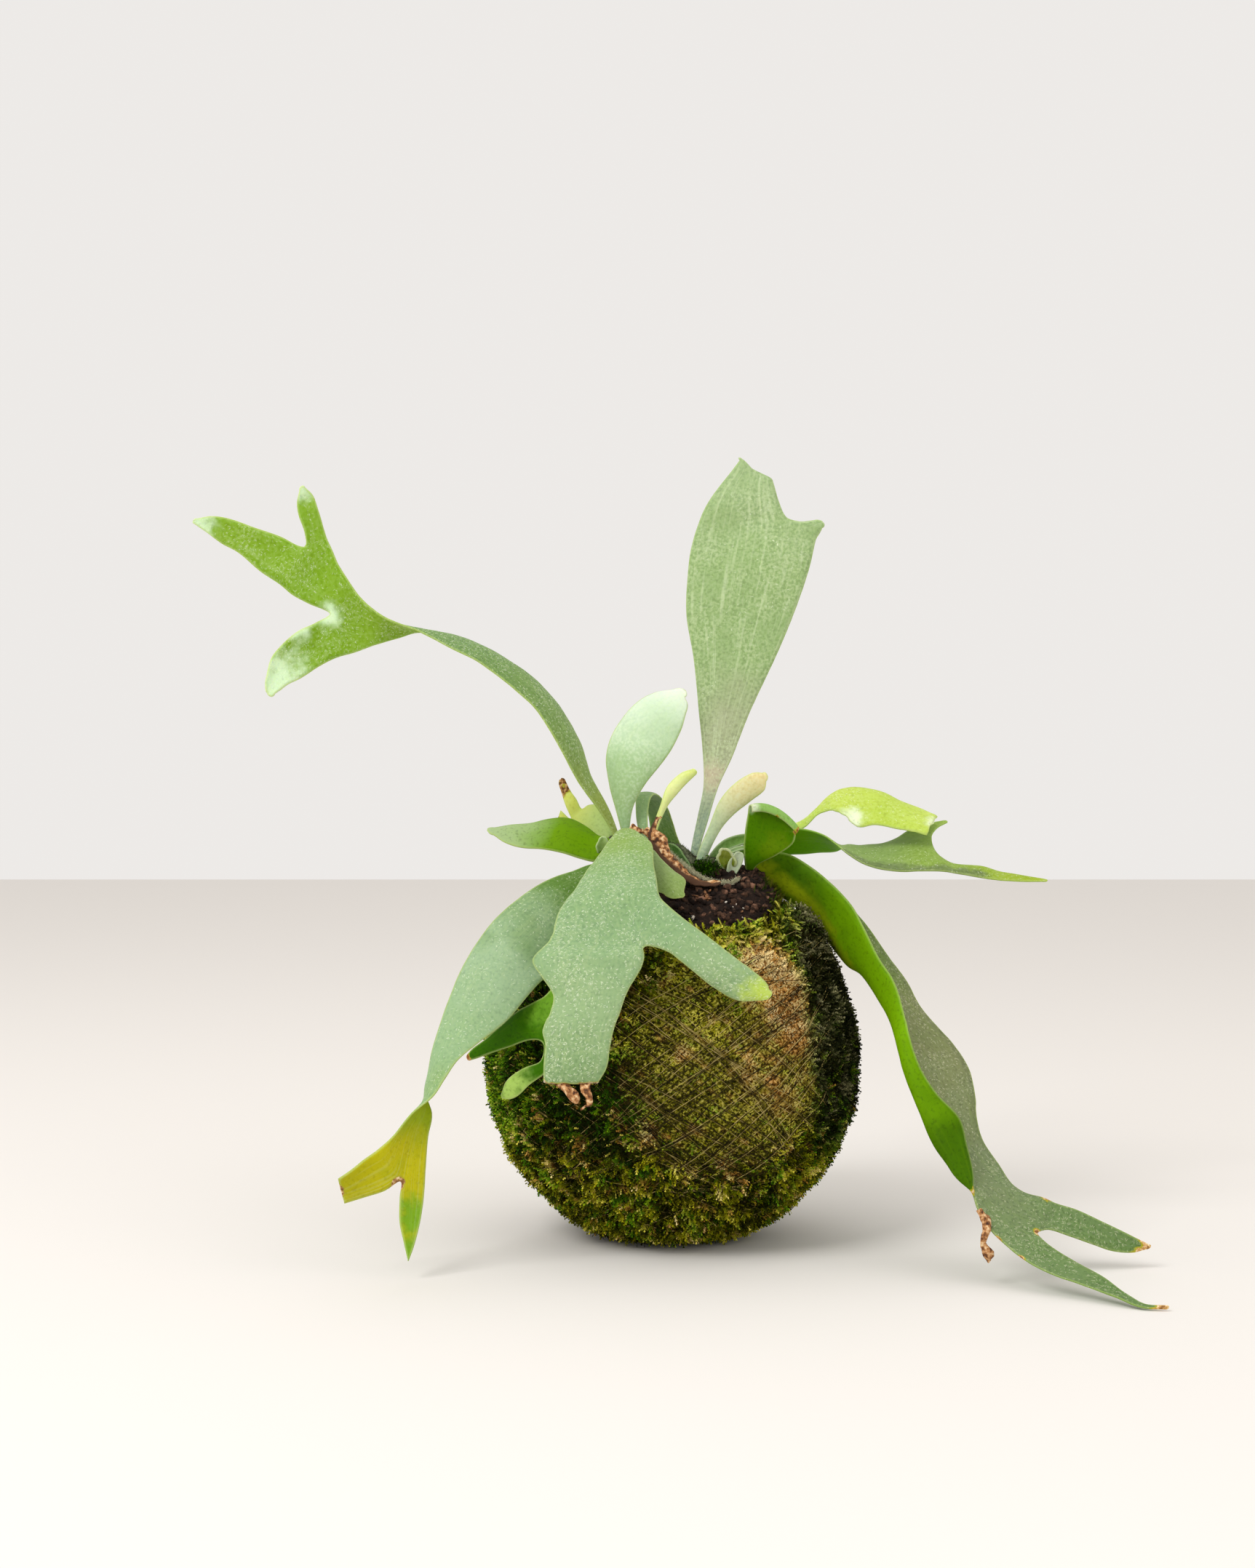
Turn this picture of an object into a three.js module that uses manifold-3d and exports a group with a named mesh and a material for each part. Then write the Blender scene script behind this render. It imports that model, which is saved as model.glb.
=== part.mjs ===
// A kokedama: a staghorn fern growing out of a ball of soil that is wrapped in moss and bound
// with thread. Millimetres, +Z up, -Y is the front. The origin is the middle of the small flat
// spot that the ball rests on.
import * as THREE from 'three';
import { mergeVertices } from 'three/addons/utils/BufferGeometryUtils.js';
import Module from 'manifold-3d';

const wasm = await Module();
wasm.setup();

// Driving dimensions of the ball, and the gap that touching pieces keep.
const BALL_CENTRE_Z = 65;
const MOSS_RADIUS = 67.3;
const MOSS_RELIEF = 1.2;
const MOSS_CUSHION_LENGTH = 25;
const MOSS_INNER_RADIUS = 60;
const MOSS_ROWS = 28;
const MOSS_COLUMNS = 52;
const GAP = 0.3;

// The moss leaves the top open, where the soil and the plant's crown show.
const OPENING_ANGLE = THREE.MathUtils.degToRad(42);
const OPENING_WAVE = THREE.MathUtils.degToRad(2.5);
const OPENING_COLUMNS = 36;
const ROWS_ABOVE_EDGE = 6;
const ROWS_BELOW_EDGE = 10;
const EDGE_STEP = 0.002;
const OPENING_CUT_RADIUS = 90;
const SOIL_MOUND_RADIUS = 66;
const SOIL_MOUND_FALL = 2.5;
const SOIL_CRUMB_RELIEF = 1;

// The binding thread runs round the ball in tilted loops that miss the opening and the flat spot.
const THREAD_RADIUS = 0.35;
const THREAD_LOOP_RADIUS = MOSS_RADIUS + MOSS_RELIEF + THREAD_RADIUS + 2 * GAP;
const THREAD_LOOPS = 7;
const THREAD_SIDES = 3;
const THREAD_STEPS = 34;
const THREAD_TILT_ORDER = 3;
const THREAD_FIRST_TURN = 0.2;
const THREAD_LEAST_TILT = THREE.MathUtils.degToRad(20);
const THREAD_MOST_TILT = THREE.MathUtils.degToRad(44);

// The rhizome stands in a plain hole in the soil with its root ball.
const ROOT_RADIUS_TOP = 9;
const ROOT_RADIUS_BOTTOM = 6;
const ROOT_TOP_Z = 134;
const ROOT_BOTTOM_Z = 80;
const ROOT_X = 2;
const ROOT_Y = 2;
const ROOT_SIDES = 20;

// Fronds are leathery blades of one thickness. A socket in the rhizome holds each one's base.
const BLADE_THICKNESS = 1;
const SOCKET_ROWS = 4;

// The lumps of the rhizome: middle x, y, z and half sizes along x, y, z.
const RHIZOME_LUMPS = [
  [-17, 2, 138, 13, 12, 12],
  [-4, 1, 136, 14, 15, 11],
  [12, 1, 134, 12, 14, 9],
  [26, 1, 131, 10, 11, 8],
  [3, -6, 131, 13, 10, 6],
];

// Each frond is a list of rows from its base to its tip, chosen by hand. A row of six numbers is
// the blade's two edges, and the arch bulges the blade between them by that share of its width.
// A row of nine numbers has a point between its edges: the bottom of a gutter, or on the last row
// before the lobes the notch where the blade forks. The first lobe grows on from the first edge
// and the notch, and the second from the notch and the second edge. split is the number of
// columns that the first lobe takes, half of them where it isn't given.
const FRONDS = [
  // Arches up and out to the left, turns edge-on and opens into three fingers.
  {
    name: 'frond_upper_left',
    colour: '#86a548',
    arch: -0.1,
    columns: 4,
    rows: [
      [-21, -1, 144.5, -18.5, 3, 144],
      [-22, -3, 151, -19.5, 3, 151.5],
      [-27, -7, 157, -23, 3, 158.5],
      [-35, -12, 167.5, -29.5, 2, 170.5],
      [-41.5, -16, 180.5, -35, 0, 184],
      [-50, -19, 194, -43.5, -3, 198],
      [-59, -22, 202.5, -54.5, -6, 208],
      [-69.5, -24, 210.5, -66.5, -9, 215.5],
      [-80, -25, 216, -78.5, -11, 221],
      [-90.5, -25, 221.5, -92, -14, 222.5],
      [-99, -26, 225, -100, -17, 220],
      [-106.5, -26, 229, -107.5, -20, 217.5],
      [-113, -26, 234.5, -115.5, -21, 214.5],
      [-117, -26, 240.5, -124, -23, 228.5, -122, -22, 212.5],
    ],
    lobes: [
      {
        rows: [
          [-120.5, -26, 246, -131.5, -24, 232],
          [-123, -26, 251.5, -137, -25, 235],
          [-125, -26, 256, -133, -25, 252.5, -142, -25, 239],
        ],
        lobes: [
          {
            rows: [
              [-126.5, -27, 261.5, -132.5, -27, 257.5],
              [-128, -28, 266.5, -134.5, -28, 263.5],
              [-129.5, -28, 270.5, -135, -28, 268],
              [-132, -29, 273, -134, -29, 272],
            ],
          },
          {
            rows: [
              [-141.5, -26, 256, -148.5, -26, 243.5],
              [-150.5, -27, 259, -156, -27, 250],
              [-159, -28, 262, -162.5, -28, 253.5],
              [-165.5, -29, 263, -168, -29, 257.5],
              [-170.5, -30, 262, -171.5, -30, 260],
            ],
          },
        ],
      },
      {
        rows: [
          [-129.5, -24, 225, -128, -23, 209.5],
          [-135.5, -25, 222, -134.5, -25, 205],
          [-140.5, -26, 217.5, -138.5, -26, 203],
          [-144.5, -27, 212, -141, -27, 201],
          [-146, -28, 205.5, -143, -28, 199.5],
        ],
      },
    ],
  },
  // The tallest blade, upright, with a notched top.
  {
    name: 'frond_tall',
    colour: '#a3ba92',
    arch: -0.06,
    columns: 4,
    split: 3,
    rows: [
      [6.5, 4, 135, 9.5, 4, 135],
      [7, 4, 141.5, 10, 3, 141.5],
      [9.5, 7, 153.5, 13.5, 5, 153.5],
      [12, 10, 166, 17.5, 8, 166],
      [12, 13, 177.5, 22.5, 10, 176.5],
      [10.5, 16, 194, 29.5, 13, 194],
      [8.5, 19, 215, 39, 16, 214],
      [6, 22, 231.5, 46.5, 19, 231.5],
      [6.5, 24, 248.5, 52.5, 22, 248.5],
      [9, 26, 262, 44.5, 26, 269, 55.5, 24, 260.5],
    ],
    lobes: [
      {
        rows: [
          [13.5, 27, 273.5, 41.5, 27, 275.5],
          [18.5, 28, 281, 39.5, 28, 282.5],
          [23.5, 29, 287.5, 38, 29, 285],
          [26.5, 29, 291.5, 31.5, 29, 288],
        ],
      },
      {
        rows: [
          [49.5, 26, 267.5, 57, 25, 263],
          [55, 26, 268, 58, 25, 265],
        ],
      },
    ],
  },
  // A young pale spoon leaning to the right.
  {
    name: 'frond_pale_short',
    colour: '#c6dab6',
    arch: -0.12,
    columns: 4,
    rows: [
      [-18, 5, 143.5, -16, 7, 143.5],
      [-19, 6, 149.5, -16, 7, 149.5],
      [-21, 7, 157.5, -14.5, 7, 158.5],
      [-23.5, 8, 167, -10, 6, 167],
      [-24.5, 9, 177.5, -2, 5, 177],
      [-21, 10, 188, 3, 6, 186],
      [-14, 11, 196.5, 5, 7, 192.5],
      [-6, 12, 201.5, 6, 9, 196.5],
      [0.5, 12, 202.5, 5, 10, 199.5],
    ],
  },
  // The thinnest young frond.
  {
    name: 'frond_thin_young',
    colour: '#c7d977',
    arch: -0.12,
    columns: 2,
    rows: [
      [-8, 0, 143.5, -6, 0, 143.5],
      [-7.5, 0, 150, -5.5, 0, 150],
      [-4.5, -2, 159, -2, -1, 158.5],
      [-2, -4, 166, 1.5, -3, 163],
      [3, -6, 171, 5.5, -5, 167.5],
      [7, -8, 172.5, 8.5, -7, 170.5],
    ],
  },
  // A pale tongue with a tan tip.
  {
    name: 'frond_tongue',
    colour: '#cdcf9f',
    arch: -0.12,
    columns: 4,
    rows: [
      [9, -2, 134, 11.5, -3, 134],
      [9, -4, 140, 12.5, -4, 139.5],
      [13.5, -7, 151.5, 17.5, -7, 150],
      [17, -10, 160.5, 22.5, -9, 156],
      [22.5, -12, 167, 28.5, -11, 161],
      [29, -14, 171, 33.5, -13, 165],
      [32.5, -14, 171, 34, -14, 168],
    ],
  },
  // Short and level, to the left.
  {
    name: 'frond_short_left',
    colour: '#5b8f2c',
    arch: 0.12,
    columns: 4,
    rows: [
      [-21.5, -4, 145, -21.5, -8, 142],
      [-24.5, -1, 147, -24.5, -9, 140.5],
      [-27.5, 3, 147.5, -28.5, -9, 138.5],
      [-32.5, 8, 151, -34, -7, 139.5],
      [-38.5, 10, 154, -40.5, -6, 141.5],
      [-45, 11, 154, -48.5, -4, 143],
      [-53, 11, 152, -56, -1, 143.5],
      [-61, 10, 151.5, -62.5, 1, 145.5],
      [-66.5, 8, 150.5, -66.5, 3, 148],
    ],
  },
  // Behind the short one, torn, with a dry spike.
  {
    name: 'frond_torn_left',
    colour: '#9db886',
    arch: 0.1,
    columns: 4,
    rows: [
      [-20, 8, 142.5, -20, 5, 140],
      [-23, 12, 152.5, -25, 9, 144.5],
      [-26.5, 16, 158.5, -30.5, 13, 144],
      [-31, 19, 159, -35, 16, 145],
      [-34, 20, 157.5, -38, 19, 153.5, -40.5, 18, 146.5],
    ],
    lobes: [
      {
        rows: [
          [-36, 20, 161, -39.5, 20, 157.5],
          [-38.5, 21, 164.5, -41, 21, 162],
          [-40.5, 22, 168.5, -42.5, 22, 166.5],
        ],
      },
      {
        rows: [
          [-42, 20, 157, -44.5, 19, 150],
        ],
      },
    ],
  },
  // Arches forward over the ball and hangs, cut off below, with one side lobe.
  {
    name: 'frond_front',
    colour: '#8fb48a',
    arch: 0.08,
    columns: 6,
    split: 4,
    rows: [
      [-18.5, -2, 142.5, -15, -5, 143],
      [-19, -9, 149, -14.5, -10, 149],
      [-21, -18, 149, -12.5, -18, 149],
      [-25, -31, 144, -8, -31, 145.5],
      [-29.5, -43, 138.5, -7.5, -43, 139],
      [-35, -55, 130.5, -6.5, -55, 133],
      [-40, -65, 123, -5.5, -63, 128.5],
      [-43, -72, 114, -10.5, -72, 112, -2, -67, 125],
    ],
    lobes: [
      {
        rows: [
          [-48, -75, 109, -11, -75, 108.5],
          [-48.5, -76, 106.5, -12, -76, 105],
          [-45.5, -78, 102.5, -14.5, -78, 101],
          [-41.5, -79.5, 96.5, -17, -79.5, 96.5],
          [-42.5, -81, 90.5, -19, -81, 91],
          [-45, -82, 85, -21, -82, 86],
          [-44, -83, 80, -22.5, -83, 79],
          [-44.5, -84, 73.5, -23.5, -84, 73],
          [-44.5, -84, 67.5, -26.5, -84, 67.5],
        ],
      },
      {
        rows: [
          [-3.5, -72, 110.5, 3.5, -68, 120.5],
          [1.5, -72, 107, 9.5, -69, 116],
          [7, -72, 102.5, 18, -70, 109.5],
          [13.5, -71, 97.5, 25.5, -70, 104],
          [21, -70, 93.5, 30.5, -69, 99.5],
          [28, -69, 93.5, 31.5, -69, 97],
        ],
      },
    ],
  },
  // A small wavy blade half hidden behind the front frond.
  {
    name: 'frond_behind_front',
    colour: '#8fa86a',
    arch: 0.1,
    columns: 4,
    rows: [
      [-11, -8, 138.5, -8.5, -8, 138.5],
      [-12.5, -19, 142, -7, -19, 142.5],
      [-13, -27, 139, -4.5, -26, 140],
      [-11, -33, 134, 0, -31, 136],
      [-8.5, -38, 130, 4, -36, 133],
      [-4, -41, 128.5, 3.5, -39, 129],
    ],
  },
  // Hangs to the left, rolls over and shows its underside.
  {
    name: 'frond_left_hanging',
    colour: '#86ad7d',
    arch: 0.08,
    columns: 4,
    rows: [
      [-21.5, -3, 137.5, -20, -7, 136],
      [-25.5, -9, 137.5, -23, -15, 134],
      [-30, -14, 137.5, -25, -24, 129],
      [-36, -20, 135.5, -28, -34, 122.5],
      [-46, -30, 132, -32.5, -43, 114.5],
      [-55.5, -40, 126, -37, -50, 107.5],
      [-63, -47, 119.5, -41.5, -56, 102.5],
      [-69, -53, 111.5, -46.5, -61, 99],
      [-73.5, -57, 103.5, -51.5, -64, 93.5],
      [-77.5, -60, 94, -58, -66, 86],
      [-81, -62, 84, -66.5, -68, 79.5],
      [-83.5, -64, 75, -74, -70, 73.5],
      [-85, -64, 67.5, -78.5, -72, 67],
      [-86, -64, 61, -82.5, -74, 61.5],
      [-83.5, -65, 54.5, -89.5, -75, 56],
      [-84.5, -67, 47, -95, -75, 49],
      [-85, -69, 38.5, -93.5, -72, 32.5, -100.5, -76, 44],
    ],
    lobes: [
      {
        rows: [
          [-85.5, -71, 28.5, -93.5, -73, 27],
          [-86.5, -73, 20, -93.5, -74, 19],
          [-88, -75, 13, -92, -75, 12.5],
          [-90, -76, 7, -90.5, -76, 6.5],
        ],
      },
      {
        rows: [
          [-98.5, -73, 29.5, -104.5, -77, 41],
          [-105, -74, 27.5, -109, -78, 37.5],
          [-112, -75, 25.5, -113.5, -79, 34.5],
        ],
      },
    ],
  },
  // Lies close over the moss under the front frond, two lobes.
  {
    name: 'frond_under_left',
    colour: '#4c8f22',
    arch: 0.08,
    columns: 4,
    rows: [
      [-15.5, -5, 134, -13, -5, 135.5],
      [-18, -15, 131, -12.5, -15, 131],
      [-23, -34, 124, -15.5, -36, 122.5],
      [-30, -50, 113.5, -20, -53, 111],
      [-37, -58, 104, -25, -62, 99],
      [-44, -60, 95, -32, -66, 87],
      [-48.5, -60, 92, -45.5, -64, 78.5, -37, -68, 75],
    ],
    lobes: [
      {
        rows: [
          [-54, -56, 88.5, -50, -60, 79],
          [-60.5, -51, 83, -57, -54, 76],
          [-66, -46, 78, -64, -48, 73],
          [-71, -42, 74, -69.5, -43, 70.5],
          [-73, -40, 71.5, -72, -40, 69.5],
        ],
      },
      {
        rows: [
          [-46, -66, 72.5, -44.5, -68, 68.5],
          [-51.5, -65, 70, -50, -67, 64.5],
          [-56, -63, 67, -54, -65, 60.5],
          [-58.5, -61, 64, -57, -62, 59],
          [-59.5, -60, 61, -59, -60, 59],
        ],
      },
    ],
  },
  // A broad stub, torn off and folded back at its rim.
  {
    name: 'frond_stub_right',
    colour: '#4c8410',
    arch: 0.05,
    columns: 4,
    rows: [
      [27.5, -2, 133.5, 29.5, -2, 134],
      [26.5, -7, 138, 31.5, -7, 137.5],
      [26, -11, 145, 38, -12, 141],
      [26.5, -13, 151, 43.5, -14, 145],
      [27.5, -14, 156, 36.5, -15, 155, 44.5, -16, 149],
      [27.5, -9, 158, 37, -10, 157, 45.5, -12, 150],
      [28, -5, 159.5, 37, -6, 158, 45, -9, 150.5],
    ],
  },
  // Reaches level to the right, turned over once, with a long tip.
  {
    name: 'frond_right_level',
    colour: '#7fa05f',
    arch: 0.06,
    columns: 4,
    split: 3,
    rows: [
      [20.5, 1, 136.5, 21, 6, 135],
      [25.5, 0, 143, 25.5, 6, 140],
      [32.5, 0, 147.5, 33.5, 9, 141.5],
      [40.5, -1, 150.5, 41.5, 11, 140.5],
      [47.5, -2, 150.5, 48.5, 12, 140.5],
      [55.5, -3, 148.5, 56.5, 13, 141],
      [60.5, -5, 145, 62.5, 13, 141.5],
      [64, -8, 141.5, 66.5, 13, 143.5],
      [69.5, -11, 138, 71.5, 13, 143.5],
      [75, -13, 136, 78, 13, 144],
      [81.5, -14, 135, 84, 13, 146],
      [89.5, -14, 135, 97.5, 8, 147.5, 89.5, 14, 149.5],
    ],
    lobes: [
      {
        rows: [
          [97, -14, 135, 97.5, 0, 142],
          [104.5, -13, 134, 102.5, -4, 138],
          [112.5, -12, 132.5, 113.5, -6, 136.5],
          [120, -11, 131.5, 120.5, -7, 134.5],
          [128, -11, 131, 128.5, -8, 133],
          [136.5, -10, 131, 137, -9, 131.5],
        ],
      },
      {
        rows: [
          [100, 12, 150.5, 95.5, 17, 151.5],
          [104, 15, 152.5, 102.5, 17, 153],
        ],
      },
    ],
  },
  // A bright arch to the right with a ragged end.
  {
    name: 'frond_right_arched',
    colour: '#b5cc3c',
    arch: -0.1,
    columns: 4,
    rows: [
      [17, 9, 138, 17, 8, 136],
      [22, 11, 145, 22.5, 9, 143],
      [32.5, 13, 149, 33, 10, 146.5],
      [41.5, 13, 150.5, 42.5, 10, 148.5],
      [48.5, 13, 153, 49.5, 9, 150.5],
      [53.5, 13, 157, 54.5, 8, 155.5],
      [59, 13, 162, 60, 5, 157],
      [64, 13, 165, 64.5, 2, 155],
      [71, 13, 165.5, 68.5, -1, 151],
      [79, 12, 164, 75.5, -3, 152],
      [86, 11, 160.5, 83, -4, 150.5],
      [93.5, 10, 157.5, 89, -4, 149.5],
      [99, 8, 155, 94.5, -3, 148],
    ],
  },
  // A long gutter down to the table, where it spreads in two lobes.
  {
    name: 'frond_right_hanging',
    colour: '#5f7f60',
    arch: -0.08,
    columns: 4,
    rows: [
      [30, 0, 135.5, 30, 5, 134],
      [33.5, -3, 139.5, 33, 2, 135, 34.5, 8, 137.5],
      [41.5, -6, 141, 39.5, 4, 132, 44.5, 12, 138],
      [50, -10, 137.5, 46, 2, 126.5, 53.5, 14, 134],
      [58, -16, 129.5, 53, -1, 117.5, 62.5, 13, 126],
      [64.5, -21, 123, 58, -6, 108.5, 69, 10, 119],
      [68, -27, 116, 63.5, -12, 101.5, 74, 6, 112.5],
      [72, -33, 106.5, 68.5, -20, 98, 80, 1, 103.5],
      [77.5, -40, 97, 73, -28, 90.5, 86, -7, 94.5],
      [80, -47, 87, 77, -37, 83, 91, -15, 84.5],
      [82, -54, 76.5, 79.5, -46, 74.5, 100.5, -25, 73],
      [84.5, -60, 68.5, 81.5, -54, 65.5, 105, -33, 65],
      [89.5, -64, 60.5, 84, -60, 56, 106, -40, 56.5],
      [96.5, -67, 53, 87.5, -66, 45, 105.5, -46, 49.5],
      [98.5, -70, 44.5, 92, -70, 38.5, 107.5, -50, 42],
      [100, -73, 36, 96, -73, 33.5, 112, -54, 35],
      [100, -77, 27.5, 104, -72, 28.5, 115.5, -58, 29.5],
      [103, -82, 20, 110, -74, 22, 120, -60, 26.5],
      [110, -87, 13, 121.5, -75, 15.5, 126.5, -62, 25],
    ],
    lobes: [
      {
        rows: [
          [115.5, -93, 9.5, 124, -82, 13],
          [122.5, -99, 7, 131, -90, 9.5],
          [131, -105, 5, 138, -99, 6.5],
          [139, -112, 3, 143.5, -107, 3],
          [146, -118, 1, 148, -116, 1.5],
          [154, -120, 1, 154, -119.5, 2],
        ],
      },
      {
        rows: [
          [126, -71, 16, 130.5, -61, 23],
          [134, -68, 13, 138, -60, 20.5],
          [142.5, -65, 9.5, 145.5, -60, 17],
          [149.5, -63, 7, 153, -60, 13.5],
          [156.5, -61, 6, 159, -60, 10.5],
          [162, -60, 7, 163, -60, 8.5],
        ],
      },
    ],
  },
  // Rises, bends over and hangs behind the ball.
  {
    name: 'frond_back',
    colour: '#5f8f3c',
    arch: -0.1,
    columns: 4,
    rows: [
      [-10.5, 8, 143.5, -8, 7, 143.5],
      [-13, 12, 152.5, -9, 11, 153],
      [-13.5, 18, 161, -8, 17, 161],
      [-13.5, 26, 163, -5.5, 25, 163],
      [-10.5, 36, 161.5, -1.5, 34, 158.5],
      [-8, 46, 152, 3, 42, 146.5],
      [-6, 54, 128, 10, 50, 128.5],
      [-5.5, 64, 105, 12.5, 60, 105.5],
      [-7.5, 73, 81, 12, 71, 81],
      [-10, 76, 60, 2, 76, 57, 12.5, 74, 63],
    ],
    lobes: [
      {
        rows: [
          [-14, 77, 42, -4, 77, 39],
          [-16.5, 76, 27.5, -10, 76, 24.5],
          [-18, 74, 16, -15.5, 74, 15],
        ],
      },
      {
        rows: [
          [8, 76, 42.5, 16.5, 75, 47],
          [14.5, 75, 30.5, 20.5, 74, 33.5],
          [19.5, 73, 21.5, 21, 72, 23],
        ],
      },
    ],
  },
  // A small cupped shield.
  {
    name: 'small_shield_frond',
    colour: '#7f8f3c',
    arch: 0.3,
    columns: 4,
    rows: [
      [20.5, -6, 134.5, 22.5, -4, 134],
      [17, -10, 137, 23, -9, 136.5],
      [16, -11, 140, 23.5, -10, 138.5],
      [17, -11, 141.5, 22, -10, 141],
    ],
  },
  // The dead brown margin of an old shield.
  {
    name: 'dry_shield_frond',
    colour: '#8f5f38',
    arch: -0.1,
    columns: 2,
    rows: [
      [-4, -9, 155.5, -6.5, -9, 153.5],
      [-6.5, -11, 151.5, -8.5, -12, 149],
      [-6, -12, 148.5, -8, -14, 144],
      [-3.5, -13, 145.5, -5.5, -16, 139.5],
      [0, -15, 141, -2, -18, 135.5],
      [4, -17, 136.5, 1.5, -20, 133.5],
      [9, -19, 132.5, 8, -22, 130.5],
      [15.5, -19, 131.5, 15, -22, 130],
    ],
  },
];

// Plain numbers in, a geometry with shared vertices out.
function indexedGeometry(positions, triangles) {
  const geometry = new THREE.BufferGeometry();
  geometry.setAttribute('position', new THREE.Float32BufferAttribute(positions, 3));
  geometry.setIndex(triangles);
  return geometry;
}

function toSolid(geometry) {
  const bare = geometry.clone();
  bare.deleteAttribute('normal');
  bare.deleteAttribute('uv');
  const merged = mergeVertices(bare, 1e-4);
  const vertProperties = new Float32Array(merged.attributes.position.array);
  const triVerts = new Uint32Array(merged.index.array);
  return new wasm.Manifold(new wasm.Mesh({ numProp: 3, vertProperties, triVerts }));
}

function toGeometry(solid) {
  const mesh = solid.getMesh();
  return indexedGeometry(Array.from(mesh.vertProperties), Array.from(mesh.triVerts));
}

// The largest body of a cut solid, without the loose scraps that a cut can leave.
function largestBody(solid) {
  const bodies = solid.decompose();
  return bodies.reduce((best, body) => (body.volume() > best.volume() ? body : best));
}

// A closed body of rows of points between two poles. pointAt takes the share of the way down from
// the top pole and the azimuth, and gives the polar angle and the radius from the ball's middle.
function polarGeometry(rows, columns, pointAt) {
  const positions = [];
  const place = (share, azimuth) => {
    const { polar, radius } = pointAt(share, azimuth);
    positions.push(
      radius * Math.sin(polar) * Math.cos(azimuth),
      radius * Math.sin(polar) * Math.sin(azimuth),
      Math.max(BALL_CENTRE_Z + radius * Math.cos(polar), 0),
    );
  };
  place(0, 0);
  for (let row = 1; row < rows; row += 1) {
    for (let column = 0; column < columns; column += 1) {
      place(row / rows, (2 * Math.PI * column) / columns);
    }
  }
  place(1, 0);
  const bottom = positions.length / 3 - 1;
  const vertex = (row, column) => 1 + (row - 1) * columns + (column % columns);
  const triangles = [];
  for (let column = 0; column < columns; column += 1) {
    triangles.push(0, vertex(1, column), vertex(1, column + 1));
    triangles.push(bottom, vertex(rows - 1, column + 1), vertex(rows - 1, column));
    for (let row = 1; row < rows - 1; row += 1) {
      const [a, b] = [vertex(row, column), vertex(row, column + 1)];
      const [c, d] = [vertex(row + 1, column), vertex(row + 1, column + 1)];
      triangles.push(a, c, d, a, d, b);
    }
  }
  return indexedGeometry(positions, triangles);
}

// The moss grows in cushions: bent waves along the three axes raise and lower its surface.
function mossRelief(polar, azimuth) {
  const turns = (2 * Math.PI * MOSS_RADIUS) / MOSS_CUSHION_LENGTH;
  const x = turns * Math.sin(polar) * Math.cos(azimuth);
  const y = turns * Math.sin(polar) * Math.sin(azimuth);
  const z = turns * Math.cos(polar);
  const across = Math.sin(x + 1.3 * Math.sin(0.44 * z)) * Math.cos(0.9 * y + Math.sin(0.5 * x));
  const down = Math.sin(1.1 * z + 0.8 * y + 1);
  return MOSS_RELIEF * (0.6 * across + 0.4 * down);
}

// The edge of the opening, a polar angle that wanders a little round the ball.
function openingAngle(azimuth) {
  const wave = 0.6 * Math.sin(3 * azimuth + 0.6) + 0.4 * Math.sin(5 * azimuth);
  return OPENING_ANGLE + OPENING_WAVE * wave;
}

function mossOuter() {
  return polarGeometry(MOSS_ROWS, MOSS_COLUMNS, (share, azimuth) => {
    const polar = share * Math.PI;
    return { polar, radius: MOSS_RADIUS + mossRelief(polar, azimuth) };
  });
}

// Rows above the opening's edge at one radius and rows below it at another. grow moves the whole
// surface outwards, and the edge with it.
function steppedBall(radiusAbove, radiusBelow, grow) {
  const rows = ROWS_ABOVE_EDGE + ROWS_BELOW_EDGE;
  return polarGeometry(rows, OPENING_COLUMNS, (share, azimuth) => {
    const edge = openingAngle(azimuth) + grow / MOSS_INNER_RADIUS;
    const row = Math.round(share * rows);
    if (row < ROWS_ABOVE_EDGE) {
      const polar = (edge * row) / (ROWS_ABOVE_EDGE - 1);
      return { polar, radius: radiusAbove(polar, azimuth) + grow };
    }
    const shareBelow = (row - ROWS_ABOVE_EDGE) / ROWS_BELOW_EDGE;
    const polar = THREE.MathUtils.lerp(edge + EDGE_STEP, Math.PI, shareBelow);
    return { polar, radius: radiusBelow + grow };
  });
}

function mossLayer() {
  const cavity = steppedBall(() => OPENING_CUT_RADIUS, MOSS_INNER_RADIUS, 0);
  return toSolid(mossOuter()).subtract(toSolid(cavity));
}

// The soil's open top is a low mound of crumbs, highest under the plant.
function soilMoundRadius(polar, azimuth) {
  const crumbs = Math.sin(9 * polar + 4 * azimuth) * Math.cos(5 * azimuth - 14 * polar);
  const fall = Math.pow(polar / OPENING_ANGLE, 4);
  return SOIL_MOUND_RADIUS - SOIL_MOUND_FALL * fall + SOIL_CRUMB_RELIEF * crumbs * Math.sin(polar);
}

function soilBody(grow) {
  return toSolid(steppedBall(soilMoundRadius, MOSS_INNER_RADIUS, grow));
}

function rootBall(grow) {
  const height = ROOT_TOP_Z - ROOT_BOTTOM_Z + 2 * grow;
  const [top, bottom] = [ROOT_RADIUS_TOP + grow, ROOT_RADIUS_BOTTOM + grow];
  const geometry = new THREE.CylinderGeometry(top, bottom, height, ROOT_SIDES);
  geometry.rotateX(Math.PI / 2);
  geometry.translate(ROOT_X, ROOT_Y, (ROOT_TOP_Z + ROOT_BOTTOM_Z) / 2);
  return toSolid(geometry);
}

function soilBall() {
  return largestBody(soilBody(-GAP).subtract(rootBall(GAP)));
}

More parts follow.
